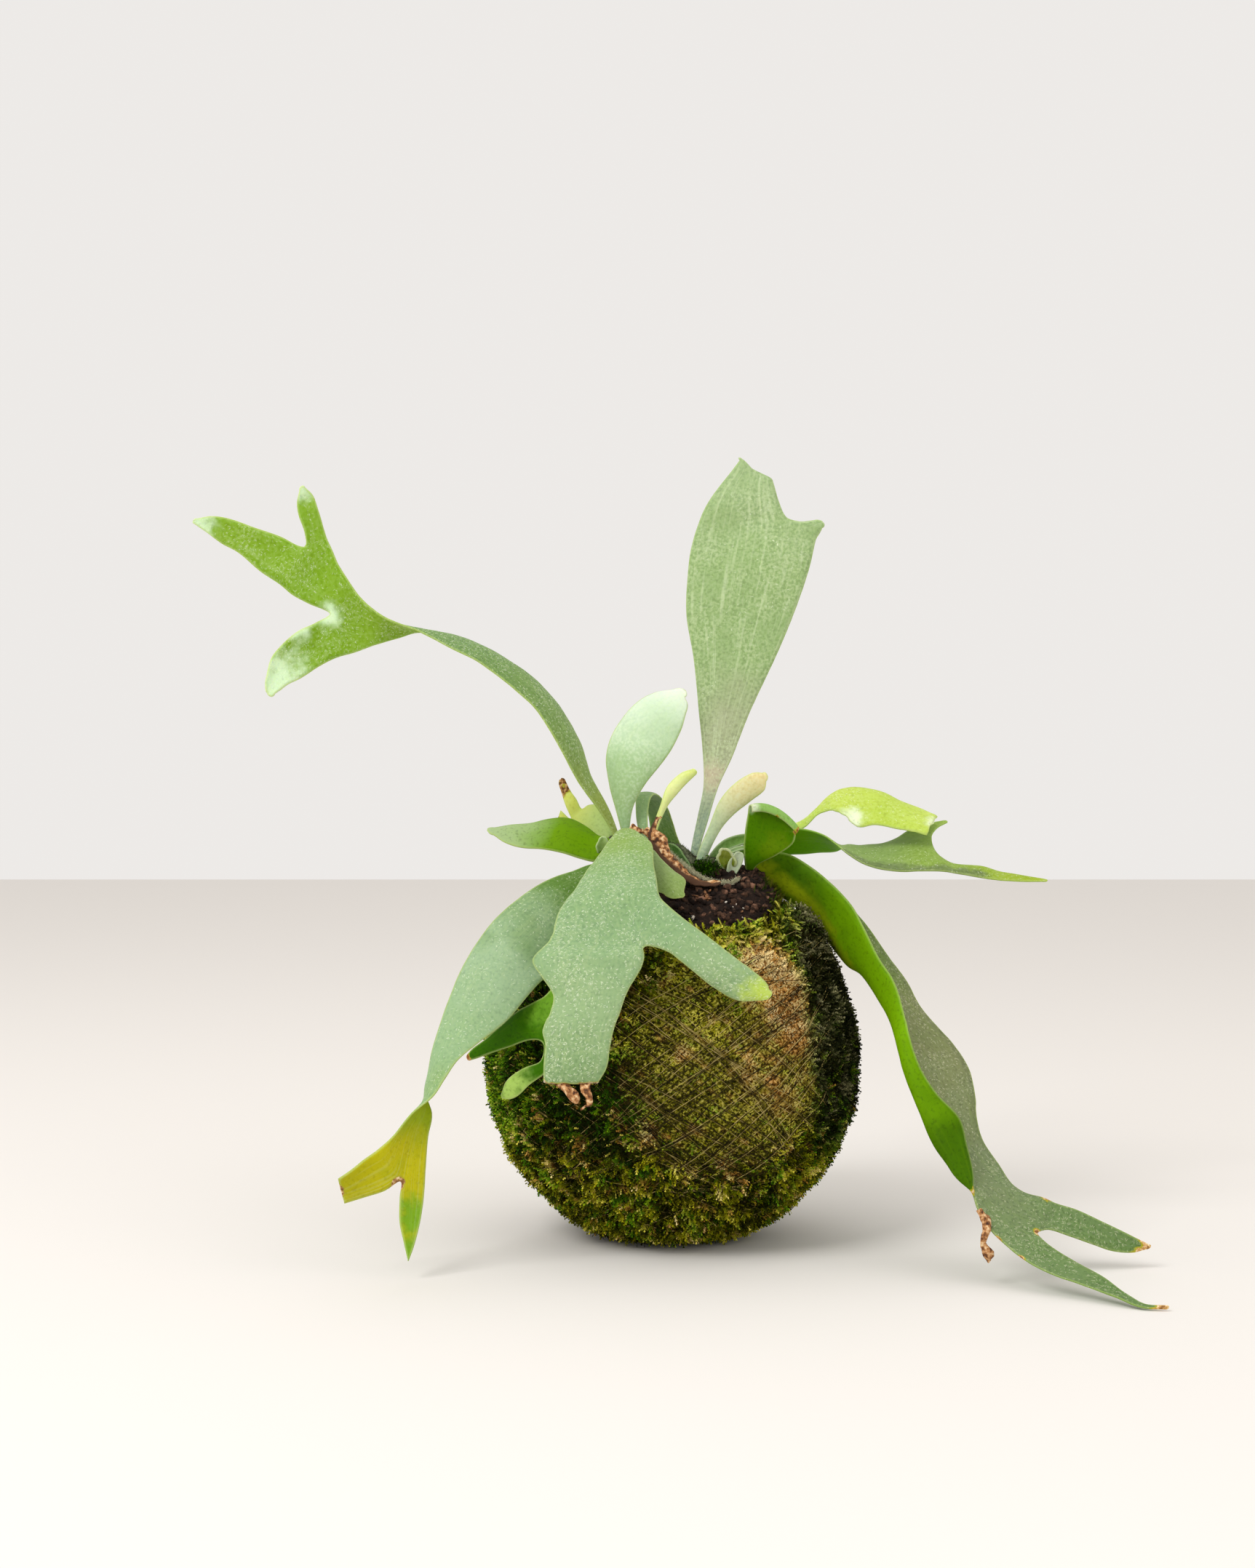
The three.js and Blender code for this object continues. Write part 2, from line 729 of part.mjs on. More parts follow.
// One loop of thread: a thin ring in a plane tilted about an axis in the ball's middle plane.
function threadLoop(index) {
  const share = ((index * THREAD_TILT_ORDER) % THREAD_LOOPS) / (THREAD_LOOPS - 1);
  const loop = new THREE.TorusGeometry(THREAD_LOOP_RADIUS, THREAD_RADIUS, THREAD_SIDES, THREAD_STEPS);
  loop.rotateX(THREE.MathUtils.lerp(THREAD_LEAST_TILT, THREAD_MOST_TILT, share));
  loop.rotateZ((2 * Math.PI * index) / THREAD_LOOPS + THREAD_FIRST_TURN);
  loop.translate(0, 0, BALL_CENTRE_Z);
  return toSolid(loop);
}

function bindingThread() {
  const loops = Array.from({ length: THREAD_LOOPS }, (_, index) => threadLoop(index));
  return largestBody(loops.reduce((joined, loop) => joined.add(loop)));
}

// The points of one row as vectors: two edges, or two edges and a point between them.
function rowPoints(row) {
  const points = [];
  for (let i = 0; i < row.length; i += 3) {
    points.push(new THREE.Vector3(row[i], row[i + 1], row[i + 2]));
  }
  return points;
}

// The middle of a row with two edges, raised from the line between them by the blade's arch.
function archedMiddle(first, last, before, after, arch) {
  const across = last.clone().sub(first);
  const middle = first.clone().add(last).multiplyScalar(0.5);
  const normal = new THREE.Vector3().crossVectors(after.clone().sub(before), across).normalize();
  return middle.addScaledVector(normal, arch * across.length());
}

// Points evenly along a parabola through the two edges and the middle, run on past both edges by
// the given extra width. The parabola's slope at an edge is -3 edge + 4 middle - far edge.
function parabola(first, middle, last, count, wider) {
  const slope = (near, far) => {
    const along = near.clone().multiplyScalar(-3).addScaledVector(middle, 4).sub(far);
    return along.length();
  };
  const start = -wider / slope(first, last);
  const end = 1 + wider / slope(last, first);
  const points = [];
  for (let i = 0; i <= count; i += 1) {
    const u = start + ((end - start) * i) / count;
    points.push(new THREE.Vector3()
      .addScaledVector(first, (1 - u) * (1 - 2 * u))
      .addScaledVector(middle, 4 * u * (1 - u))
      .addScaledVector(last, u * (2 * u - 1)));
  }
  return points;
}

// Points along the broken line from the first edge over the notch to the last edge.
function forkLine(first, notch, last, split, count) {
  const points = [];
  for (let i = 0; i <= split; i += 1) {
    points.push(first.clone().lerp(notch, i / split));
  }
  for (let i = 1; i <= count - split; i += 1) {
    points.push(notch.clone().lerp(last, i / (count - split)));
  }
  return points;
}

// A blade's middle surface: its points, and quads of their numbers. rows may be cut short and
// widened, which gives the form that a socket is cut with.
function bladeSurface(frond, wider, mostRows) {
  const points = [];
  const quads = [];
  const add = (line) => line.map((point) => points.push(point) - 1);
  const join = (line, next) => {
    for (let i = 0; i + 1 < line.length; i += 1) {
      quads.push([line[i], line[i + 1], next[i + 1], next[i]]);
    }
  };
  const grow = (part, started, count) => {
    const rows = part.rows.slice(0, mostRows).map(rowPoints);
    const middles = rows.map((row) => row[0].clone().add(row[row.length - 1]).multiplyScalar(0.5));
    let line = started;
    rows.forEach((row, index) => {
      const [first, last] = [row[0], row[row.length - 1]];
      const forks = part.lobes && index === part.rows.length - 1;
      const split = part.split ?? count / 2;
      let next;
      if (forks) {
        next = forkLine(first, row[1], last, split, count);
      } else {
        const before = middles[Math.max(index - 1, 0)];
        const after = middles[Math.min(index + 1, rows.length - 1)];
        const arched = archedMiddle(first, last, before, after, frond.arch);
        next = parabola(first, row.length === 3 ? row[1] : arched, last, count, wider);
      }
      if (index === 0 && !started) {
        const back = middles[0].clone().sub(middles[1]).setLength(wider);
        next.forEach((point) => point.add(back));
      }
      const numbers = add(next);
      if (line) {
        join(line, numbers);
      }
      line = numbers;
      if (forks) {
        grow(part.lobes[0], numbers.slice(0, split + 1), split);
        grow(part.lobes[1], numbers.slice(split), count - split);
      }
    });
  };
  grow(frond, null, frond.columns);
  return { points, quads };
}

// A sheet of even thickness round a surface of quads. Both faces are split into the same
// triangles, and a strip closes each free edge.
function thickened({ points, quads }, thickness) {
  const faces = quads.flatMap(([a, b, c, d]) => [[a, b, c], [a, c, d]]);
  const normals = points.map(() => new THREE.Vector3());
  for (const [a, b, c] of faces) {
    const normal = new THREE.Vector3().crossVectors(
      points[b].clone().sub(points[a]),
      points[c].clone().sub(points[a]),
    );
    [a, b, c].forEach((corner) => normals[corner].add(normal));
  }
  const positions = [];
  for (const side of [0.5, -0.5]) {
    points.forEach((point, index) => {
      const normal = normals[index].clone().normalize();
      const shifted = point.clone().addScaledVector(normal, side * thickness);
      positions.push(shifted.x, shifted.y, shifted.z);
    });
  }
  const under = points.length;
  const open = new Map();
  const triangles = [];
  for (const [a, b, c] of faces) {
    triangles.push(a, b, c, c + under, b + under, a + under);
    for (const [from, to] of [[a, b], [b, c], [c, a]]) {
      if (!open.delete(`${to} ${from}`)) {
        open.set(`${from} ${to}`, [from, to]);
      }
    }
  }
  for (const [from, to] of open.values()) {
    triangles.push(to, from, from + under, to, from + under, to + under);
  }
  return indexedGeometry(positions, triangles);
}

function frondGeometry(frond) {
  return thickened(bladeSurface(frond, 0, Infinity), BLADE_THICKNESS);
}

// What a socket is cut with: the frond's base, larger all round by the gap.
function socketCutter(frond) {
  return toSolid(thickened(bladeSurface(frond, GAP, SOCKET_ROWS), BLADE_THICKNESS + 2 * GAP));
}

// The creeping stem: overlapping lumps that sit on the soil, the root ball below them, and a
// socket for each frond.
function rhizome() {
  const lumps = RHIZOME_LUMPS.map(([x, y, z, halfX, halfY, halfZ]) => {
    const lump = new THREE.IcosahedronGeometry(1, 1);
    lump.scale(halfX, halfY, halfZ);
    lump.translate(x, y, z);
    return toSolid(lump);
  });
  const sitting = lumps.reduce((joined, lump) => joined.add(lump)).subtract(soilBody(0));
  const rooted = sitting.add(rootBall(0));
  const cut = FRONDS.reduce((body, frond) => body.subtract(socketCutter(frond)), rooted);
  return largestBody(cut);
}

const plant = new THREE.Group();

function addPart(name, geometry, colour, roughness) {
  const material = new THREE.MeshStandardMaterial({ color: colour, roughness, metalness: 0 });
  const mesh = new THREE.Mesh(geometry, material);
  mesh.name = name;
  plant.add(mesh);
}

addPart('moss_layer', toGeometry(mossLayer()), '#56701c', 0.95);
addPart('soil_ball', toGeometry(soilBall()), '#2e1f17', 0.95);
addPart('binding_thread', toGeometry(bindingThread()), '#3a3f20', 0.8);
addPart('rhizome', toGeometry(rhizome()), '#7a6a4c', 0.9);
for (const frond of FRONDS) {
  addPart(frond.name, frondGeometry(frond), frond.colour, 0.6);
}

export default plant;
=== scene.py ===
# %% [markdown]
# # A kokedama: a staghorn fern in a moss ball
#
# A kokedama is a plant whose ball of soil is wrapped in living moss and bound with thread, with no
# pot at all. This one holds a staghorn fern: felted, leathery fronds that fork like antlers. The
# notebook dresses a imported CAD model of it. The CAD solids say where every piece is. Here each
# plain solid is replaced by a finer mesh on the same measures, and everything gets its finish.
#
# The first cell loads the imported model as a fixed frame.

# %% Load the frame
import functools
import math

import bpy
import numpy as np
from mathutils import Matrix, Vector


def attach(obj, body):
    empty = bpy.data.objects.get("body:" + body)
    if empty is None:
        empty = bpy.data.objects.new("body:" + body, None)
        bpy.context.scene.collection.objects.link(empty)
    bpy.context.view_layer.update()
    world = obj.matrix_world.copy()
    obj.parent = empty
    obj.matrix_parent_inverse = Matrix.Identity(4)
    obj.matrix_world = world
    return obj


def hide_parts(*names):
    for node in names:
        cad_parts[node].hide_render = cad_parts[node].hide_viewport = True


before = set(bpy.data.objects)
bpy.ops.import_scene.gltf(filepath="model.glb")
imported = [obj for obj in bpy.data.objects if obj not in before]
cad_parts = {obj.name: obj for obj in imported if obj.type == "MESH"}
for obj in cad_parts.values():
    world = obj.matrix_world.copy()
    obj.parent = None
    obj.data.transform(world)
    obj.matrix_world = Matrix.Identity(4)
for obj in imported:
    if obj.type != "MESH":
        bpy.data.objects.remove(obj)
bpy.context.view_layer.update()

# %% [markdown]
# ## The camera
#
# The camera stands level in front of the plant, so that upright lines stay upright. Its place was
# worked out from the ball's size and how much of its top shows: about 0.8 m in front of the ball's
# middle and a little above the crown. A 50 mm lens on a 36 mm frame gives the mild perspective of
# an ordinary photograph.

# %% Camera
MM = 0.001
IMAGE_WIDTH, IMAGE_HEIGHT = 1725, 2156
CAMERA_PLACE = Vector((-16.6, -809, 167)) * MM
LENS, FRAME_HEIGHT = 50, 36

camera_data = bpy.data.cameras.new("camera")
camera_data.lens = LENS
camera_data.sensor_fit = "VERTICAL"
camera_data.sensor_height = FRAME_HEIGHT
camera = bpy.data.objects.new("camera", camera_data)
camera.location = CAMERA_PLACE
camera.rotation_euler = (math.radians(90), 0, 0)
bpy.context.scene.collection.objects.link(camera)
bpy.context.scene.camera = camera
seen_across = IMAGE_WIDTH / IMAGE_HEIGHT * FRAME_HEIGHT / LENS * -CAMERA_PLACE.y
print("camera sees", round(seen_across, 3), "m across at the ball")

# %% [markdown]
# ## Small tools
#
# Colours are written as the hex values that a screen shows, so one function turns them to the
# linear values that a shader counts in. One function adds a shader node with its settings and
# links. The last two put arrays of points and faces into a mesh, and hand the finished piece to
# the frame with any values that its material reads from the surface.

# %% Colour, node and piece
def linear(hex_colour):
    """The linear red, green, blue and alpha of an sRGB hex colour."""
    shares = [int(hex_colour[i : i + 2], 16) / 255 for i in (1, 3, 5)]
    turned = [s / 12.92 if s <= 0.04045 else ((s + 0.055) / 1.055) ** 2.4 for s in shares]
    return (*turned, 1.0)


# What a mixing node needs for colours, and a range node for a smooth slope between its ends.
RGBA = {"data_type": "RGBA"}
SMOOTH = {"interpolation_type": "SMOOTHSTEP"}
# The output that a node is read by, where it isn't the first one.
MAIN_OUTPUTS = {"ShaderNodeMix": 2, "ShaderNodeAttribute": "Fac"}


def set_inputs(node, inputs):
    """Inputs by name or number, or in order from a list. A node or an output is linked, and any
    other value is set on the input itself."""
    for key, value in inputs.items() if isinstance(inputs, dict) else enumerate(inputs):
        if isinstance(value, bpy.types.Node):
            value = value.outputs[MAIN_OUTPUTS.get(value.bl_idname, 0)]
        if isinstance(value, bpy.types.NodeSocket):
            node.id_data.links.new(value, node.inputs[key])
        else:
            node.inputs[key].default_value = value


def add_node(tree, kind, inputs=(), stops=(), **settings):
    """A shader node with its settings and inputs. stops are the places and hex colours of a
    colour ramp."""
    node = tree.nodes.new("ShaderNode" + kind)
    for key, value in settings.items():
        setattr(node, key, value)
    set_inputs(node, inputs)
    for number, (place, colour) in enumerate(stops):
        ramp = node.color_ramp.elements
        stop = ramp[number] if number < len(ramp) else ramp.new(place)
        stop.position = place
        stop.color = linear(colour)
    return node


def new_material(name):
    """A material, add_node for its tree, its Principled shader and the piece's own coordinates in
    metres."""
    material = bpy.data.materials.new(name)
    material.use_nodes = True
    add = functools.partial(add_node, material.node_tree)
    shader = material.node_tree.nodes["Principled BSDF"]
    return material, add, shader, add("TexCoord").outputs["Object"]


def new_mesh(name, points, faces):
    """A mesh from points (n, 3) in metres and a list of face arrays, each (m, corners)."""
    mesh = bpy.data.meshes.new(name)
    corners = np.concatenate([np.asarray(group).ravel() for group in faces]).astype(np.int32)
    sizes = np.concatenate([np.full(len(group), np.shape(group)[1]) for group in faces])
    starts = np.concatenate([[0], np.cumsum(sizes)[:-1]]).astype(np.int32)
    mesh.vertices.add(len(points))
    mesh.vertices.foreach_set("co", np.asarray(points, dtype=np.float32).ravel())
    mesh.loops.add(len(corners))
    mesh.loops.foreach_set("vertex_index", corners)
    mesh.polygons.add(len(sizes))
    mesh.polygons.foreach_set("loop_start", starts)
    mesh.update(calc_edges=True)
    mesh.shade_smooth()
    return mesh


def new_piece(name, mesh, material, values=None, stands_for=()):
    """An object of the plant on its one body, with a finish slot. values are named numbers, one
    for each point, and stands_for are the CAD nodes that it replaces."""
    for key, numbers in (values or {}).items():
        attribute = mesh.attributes.new(key, "FLOAT", "POINT")
        attribute.data.foreach_set("value", np.asarray(numbers, dtype=np.float32))
    mesh.materials.append(material)
    piece = bpy.data.objects.new(name, mesh)
    bpy.context.scene.collection.objects.link(piece)
    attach(piece, "root")
    if stands_for:
        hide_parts(*stands_for)
    triangles = sum(len(polygon.vertices) - 2 for polygon in mesh.polygons)
    print(f"{name}: {len(mesh.vertices)} points, {triangles} triangles")


def loose_piece(name, points, faces, material, values=None):
    """A piece of many small parts, from points in mm and one array of faces."""
    new_piece(name, new_mesh(name, points * MM, [faces]), material, values)


# %% [markdown]
# ## Noise and grids in numpy
#
# Moss, crumbs and leaves are never even, so most shapes here are a clean formula plus noise. The
# noise is a lattice of fixed random numbers, blended smoothly between its corners. It has no
# state, so the plant comes out the same each time, and a random choice always has a seed. A grid
# of points gets its quads from one function, and another closes rows round an axis to a shell.

# %% Noise, grids and unit vectors
def noise(points, cell, seed):
    """Smooth values from 0 to 1: each corner of a lattice with cells of that size has a hashed
    number, and a point blends the eight round it by the curve 3t squared - 2t cubed."""
    places = np.asarray(points) / cell
    low = np.floor(places).astype(np.int64)
    blend = places - low
    blend = blend * blend * (3 - 2 * blend)
    total = np.zeros(places.shape[:-1])
    for corner in np.ndindex(2, 2, 2):
        at = low + corner
        mixed = at[..., 0] * 73856093 ^ at[..., 1] * 19349663 ^ at[..., 2] * 83492791
        mixed = (mixed ^ seed * 2654435761) & 0x7FFFFFFF
        mixed = ((mixed ^ (mixed >> 15)) * 1274126177) & 0x7FFFFFFF
        hashed = ((mixed ^ (mixed >> 13)) & 0xFFFF) / 0xFFFF
        total += hashed * np.where(corner, blend, 1 - blend).prod(axis=-1)
    return total


def unit(vectors):
    """Vectors along the last axis, each made one long."""
    return vectors / np.maximum(np.linalg.norm(vectors, axis=-1, keepdims=True), 1e-12)


def step_up(values, low, high):
    """0 below low, 1 above high, and a smooth slope between."""
    share = np.clip((values - low) / (high - low), 0, 1)
    return share * share * (3 - 2 * share)


def grid_faces(index, closed=False):
    """Quads between neighbours in a grid of point numbers (rows, columns). They face along
    (down the rows) x (along the columns). closed joins the last column to the first."""
    if closed:
        index = np.hstack([index, index[:, :1]])
    a, b, c, d = index[:-1, :-1], index[1:, :-1], index[1:, 1:], index[:-1, 1:]
    return np.stack([a, b, c, d], axis=-1).reshape(-1, 4)


def fan_faces(pole, ring, pole_first):
    """Triangles from a pole to a closed ring of point numbers. pole_first says whether the pole
    comes before the ring in the rows or after it."""
    following = np.roll(ring, -1)
    poles = np.full(len(ring), pole)
    order = (poles, ring, following) if pole_first else (poles, following, ring)
    return np.stack(order, axis=-1)


def closed_shell(rows, first_pole, last_pole):
    """Points and faces of a shell round an axis: closed rows of points (rows, columns, 3), with a
    pole before the first row and one after the last."""
    grid = np.arange(rows[..., 0].size).reshape(rows.shape[:2])
    points = np.vstack([rows.reshape(-1, 3), first_pole, last_pole])
    ends = [fan_faces(grid.size, grid[0], True), fan_faces(grid.size + 1, grid[-1], False)]
    return points, [grid_faces(grid, closed=True), *ends]

# %% [markdown]
# ## The ball's measures
#
# The moss ball is nearly round: its surface is a sphere with low cushions, worked out from bent
# waves. The moss leaves the top open along an edge that wanders. These formulas are the CAD
# model's own, so the fine surface lies where the solid does. Only on the right shoulder the moss
# is thicker and bulges a little. A direction here is a unit vector from the ball's middle.

# %% Measures of the ball
BALL_CENTRE = np.array([0, 0, 65.0])
MOSS_RADIUS = 67.3
MOSS_RELIEF = 1.2
MOSS_CUSHION_LENGTH = 25
MOSS_INNER_RADIUS = 60
OPENING_ANGLE = math.radians(42)
OPENING_WAVE = math.radians(2.5)
SOIL_MOUND_RADIUS = 66
SOIL_MOUND_FALL = 2.5
SHOULDER = (0.62, -0.25, 0.75)
SHOULDER_RISE = 6.5


def direction(polar, azimuth):
    """The unit vector at a polar angle from the top and an azimuth round the upright axis."""
    polar, azimuth = np.broadcast_arrays(polar, azimuth)
    flat = np.sin(polar)
    return np.stack([flat * np.cos(azimuth), flat * np.sin(azimuth), np.cos(polar)], axis=-1)


def near(directions, centre, inner, outer):
    """1 within inner degrees of a centre, 0 past outer degrees and smooth between."""
    cosines = directions @ unit(np.array(centre, dtype=float))
    angle = np.degrees(np.arccos(np.clip(cosines, -1, 1)))
    return 1 - step_up(angle, inner, outer)


def moss_radius(directions):
    """The moss surface's distance from the ball's middle: the sphere plus low cushions, 0.6 of
    sin(x + 1.3 sin 0.44z) cos(0.9y + sin 0.5x) and 0.4 of sin(1.1z + 0.8y + 1), and the shoulder."""
    x, y, z = np.moveaxis(directions * 2 * math.pi * MOSS_RADIUS / MOSS_CUSHION_LENGTH, -1, 0)
    across = np.sin(x + 1.3 * np.sin(0.44 * z)) * np.cos(0.9 * y + np.sin(0.5 * x))
    down = np.sin(1.1 * z + 0.8 * y + 1)
    shoulder = SHOULDER_RISE * near(directions, SHOULDER, 3, 27)
    return MOSS_RADIUS + MOSS_RELIEF * (0.6 * across + 0.4 * down) + shoulder


def opening_edge(azimuth):
    """The polar angle of the moss layer's edge, which wanders round the opening."""
    wave = 0.6 * np.sin(3 * azimuth + 0.6) + 0.4 * np.sin(5 * azimuth)
    return OPENING_ANGLE + OPENING_WAVE * wave


def ball_points(directions, radius):
    """Points in mm at a radius from the ball's middle, kept on or above the table."""
    points = BALL_CENTRE + directions * np.asarray(radius)[..., None]
    points[..., 2] = np.maximum(points[..., 2], 0)
    return points


# %% [markdown]
# ## Where the moss differs
#
# Moss is not one colour. On the front and back the thread binds it tightly, so it lies flat there.
# Below the opening it has dried to tan, the right side is old and dark, and the left side is a
# fresh green fur. These functions give those shares for any direction, and every mossy piece
# below reads them.

# %% Zones of the moss
def tight(around):
    """1 where the thread binds the moss tightly: the front, a little to the right, and the back."""
    return np.maximum(near(around, (0.30, -0.93, 0.12), 24, 44), near(around, (-0.3, 0.9, 0.0), 20, 50))


SMALL_TAN_SPOTS = [
    (0.37, -0.93, 0.04), (0.37, -0.92, 0.12), (0.03, -0.99, 0.15), (0.49, -0.87, -0.01),
    (-0.14, -0.95, -0.28), (0.25, -0.87, -0.43),
]


def moss_zones(around):
    """Shares from 0 to 1 for each direction: dried to tan, dark grey-green, and olive. Each comes
    from places on the ball, with ragged noisy borders."""
    places = around * MOSS_RADIUS
    rag = (noise(places, 5.0, 21) - 0.5) * 0.9 + (noise(places, 1.8, 23) - 0.5) * 0.9
    big_tan = 1.15 * near(around, (0.49, -0.71, 0.5), 7, 15) + near(around, (0.62, -0.73, 0.3), 3, 13)
    small_tan = sum(near(around, centre, 0.5, 4) for centre in SMALL_TAN_SPOTS)
    back_tan = near(around, (-0.5, 0.75, 0.3), 5, 22)
    spotted = step_up(noise(places, 2.6, 22), 0.7, 0.84) * 0.6
    golden = 0.42 * near(around, (0.56, -0.82, 0.06), 6, 20)
    tan = big_tan + 0.8 * small_tan + back_tan + spotted + golden
    tan = np.clip(tan + rag * np.minimum(1, 3 * tan), 0, 1)
    top = 0.16 * step_up(around[..., 2], 0.3, 0.8)
    band = step_up(around[..., 0] + top + rag * 0.08, 0.66, 0.76) * step_up(around[..., 2], -0.55, -0.2)
    lively = step_up(noise(places, 3.0, 24), 0.6, 0.7)
    grey = np.clip(band * (1 - 0.8 * lively * (1 - step_up(around[..., 2], 0.0, 0.35))), 0, 1)
    furry = near(around, (-0.9, -0.35, 0.2), 25, 52) + near(around, (-0.35, -0.9, -0.1), 8, 26)
    olive = np.clip(1.15 - furry + 0.6 * rag - 0.9 * lively, 0, 1)
    return tan * (1 - grey), grey, olive * (1 - grey)


# %% [markdown]
# ## The moss layer
#
# The body of the layer is one closed shell: its outer face, the lip at the opening and the inner
# wall against the soil. A profile of that section is carried round the upright axis. The living
# moss on it is real geometry, added in a later cell, so this surface is only the matted ground
# that shows between the sprigs: dark old stems where the moss is loose, and a fine mottle of flat
# leaves where the thread presses it.

# %% Moss ground material
moss_ground, add, shader, place = new_material("matted moss stems")
clumps = add("TexNoise", {"Vector": place, "Scale": 1 / 0.006, "Detail": 3})
fibres = add("TexNoise", {"Vector": place, "Scale": 1 / 0.0009, "Detail": 4})
bound = add("Attribute", attribute_name="tight")
old = add("Attribute", attribute_name="tan")
loose = add("ValToRGB", [clumps], stops=[(0.3, "#101402"), (0.5, "#1F2604"), (0.7, "#33290A")])
flat_moss = add("ValToRGB", [fibres], stops=[
    (0.36, "#191703"), (0.48, "#46430A"), (0.58, "#868020"), (0.7, "#C9BF62"),
])
dry_moss = add("ValToRGB", [fibres], stops=[(0.36, "#3A2208"), (0.5, "#94652A"), (0.66, "#DDAE68")])
mixed = add("Mix", {0: bound, 6: loose, 7: flat_moss}, **RGBA)
mixed = add("Mix", {0: old, 6: mixed, 7: dry_moss}, **RGBA)
rough = add("Bump", {"Height": fibres, "Strength": 0.9, "Distance": 0.6 * MM})
set_inputs(shader, {"Base Color": mixed, "Normal": rough, "Roughness": 0.95, "Specular IOR Level": 0.05})
print("material:", moss_ground.name)

# %% Moss layer
OUTER_ROWS, LIP_ROWS, INNER_ROWS, ROUND_COLUMNS = 96, 5, 12, 190
INNER_WALL = MOSS_INNER_RADIUS + 0.3
LIP_ROUNDING = 0.6


def moss_layer():
    """Profile rows round the axis: up the inner wall from its lowest point, over the lip and down
    the outer face to the flat spot. Fine noise makes the outer face lumpy."""
    azimuth = np.linspace(0, 2 * math.pi, ROUND_COLUMNS, endpoint=False)
    edge = opening_edge(azimuth)
    up = np.linspace(0.97, 0, INNER_ROWS)[:, None]
    inner_polar = edge + (math.pi - edge) * up
    inner_radius = np.full_like(inner_polar, INNER_WALL)
    over = np.linspace(0.15, 0.85, LIP_ROWS)[:, None]
    lip_polar = edge - 0.02 * np.sin(math.pi * over)
    outer_edge = moss_radius(direction(edge, azimuth)) - LIP_ROUNDING
    lip_radius = INNER_WALL + (outer_edge - MOSS_INNER_RADIUS) * over
    down = np.linspace(0, 0.992, OUTER_ROWS)[:, None]
    outer_polar = edge + (math.pi - edge) * down
    rounding = LIP_ROUNDING * (1 - step_up(down, 0, 0.03))
    outer_radius = moss_radius(direction(outer_polar, azimuth)) - rounding
    polar = np.vstack([inner_polar, lip_polar, outer_polar])
    radius = np.vstack([inner_radius, lip_radius, outer_radius])
    around = direction(polar, azimuth)
    lumps = noise(around * MOSS_RADIUS, 3.0, 11) - 0.5
    outside = np.arange(len(polar))[:, None] >= INNER_ROWS
    low_inside = BALL_CENTRE - [0, 0, INNER_WALL]
    rows = ball_points(around, radius + outside * 0.9 * lumps)
    points, faces = closed_shell(rows, low_inside, np.zeros(3))
    mesh = new_mesh("moss_layer_fine", points * MM, faces)
    around = unit(points - BALL_CENTRE)
    tan, grey, _ = moss_zones(around)
    return mesh, {"tight": tight(around) * (1 - grey), "tan": tan}


mesh, shares = moss_layer()
new_piece("moss_layer_fine", mesh, moss_ground, shares, ["moss_layer"])

# %% [markdown]
# ## The binding thread
#
# A kokedama is held together by fine thread wound round and round it. Each turn is a flat loop:
# the plane of the loop is tilted, and most planes lean to the left or to the right, so the turns
# cross each other at about a right angle on the front and back. Loops that would cross the opening
# or the flat spot are left out, as a maker leaves them. The thread is about 0.2 mm thick, drawn a
# little thicker so that it shows. Where it is pulled tight it lies on top of the moss, and elsewhere
# the moss has grown over it. Most turns have darkened to the brown of the moss, and a few in each
# direction are still straw-coloured.

# %% Binding thread
THREAD_RADIUS = 0.13
THREAD_TURNS = 140
PLANE_DRAWS = 6000
THREAD_STEPS = 116
THREAD_SIDES = 3
THREAD_LIFT_LOOSE, THREAD_LIFT_TIGHT = 0.4, 0.75


def thread_planes():
    """Unit normals and offsets in mm of the loops' planes, drawn at random and kept where the
    whole loop runs between the opening and the flat spot. Two thirds lean left or right."""
    rng = np.random.default_rng(5)
    tilt = np.radians(rng.uniform(30, 58, PLANE_DRAWS))
    leaning = np.radians(rng.normal(0, 22, PLANE_DRAWS))
    leaning += np.where(rng.random(PLANE_DRAWS) < 0.5, 0, math.pi)
    turn = np.where(rng.random(PLANE_DRAWS) < 0.66, leaning, rng.uniform(0, 2 * math.pi, PLANE_DRAWS))
    normals = direction(tilt, turn)
    offsets = rng.uniform(-30, 30, PLANE_DRAWS) / MOSS_RADIUS
    swing = np.sin(tilt) * np.sqrt(1 - offsets**2)
    highest = offsets * np.cos(tilt) + swing
    lowest = offsets * np.cos(tilt) - swing
    keep = (highest < math.cos(OPENING_ANGLE + 0.07)) & (lowest > -0.9)
    return normals[keep][:THREAD_TURNS], offsets[keep][:THREAD_TURNS] * MOSS_RADIUS


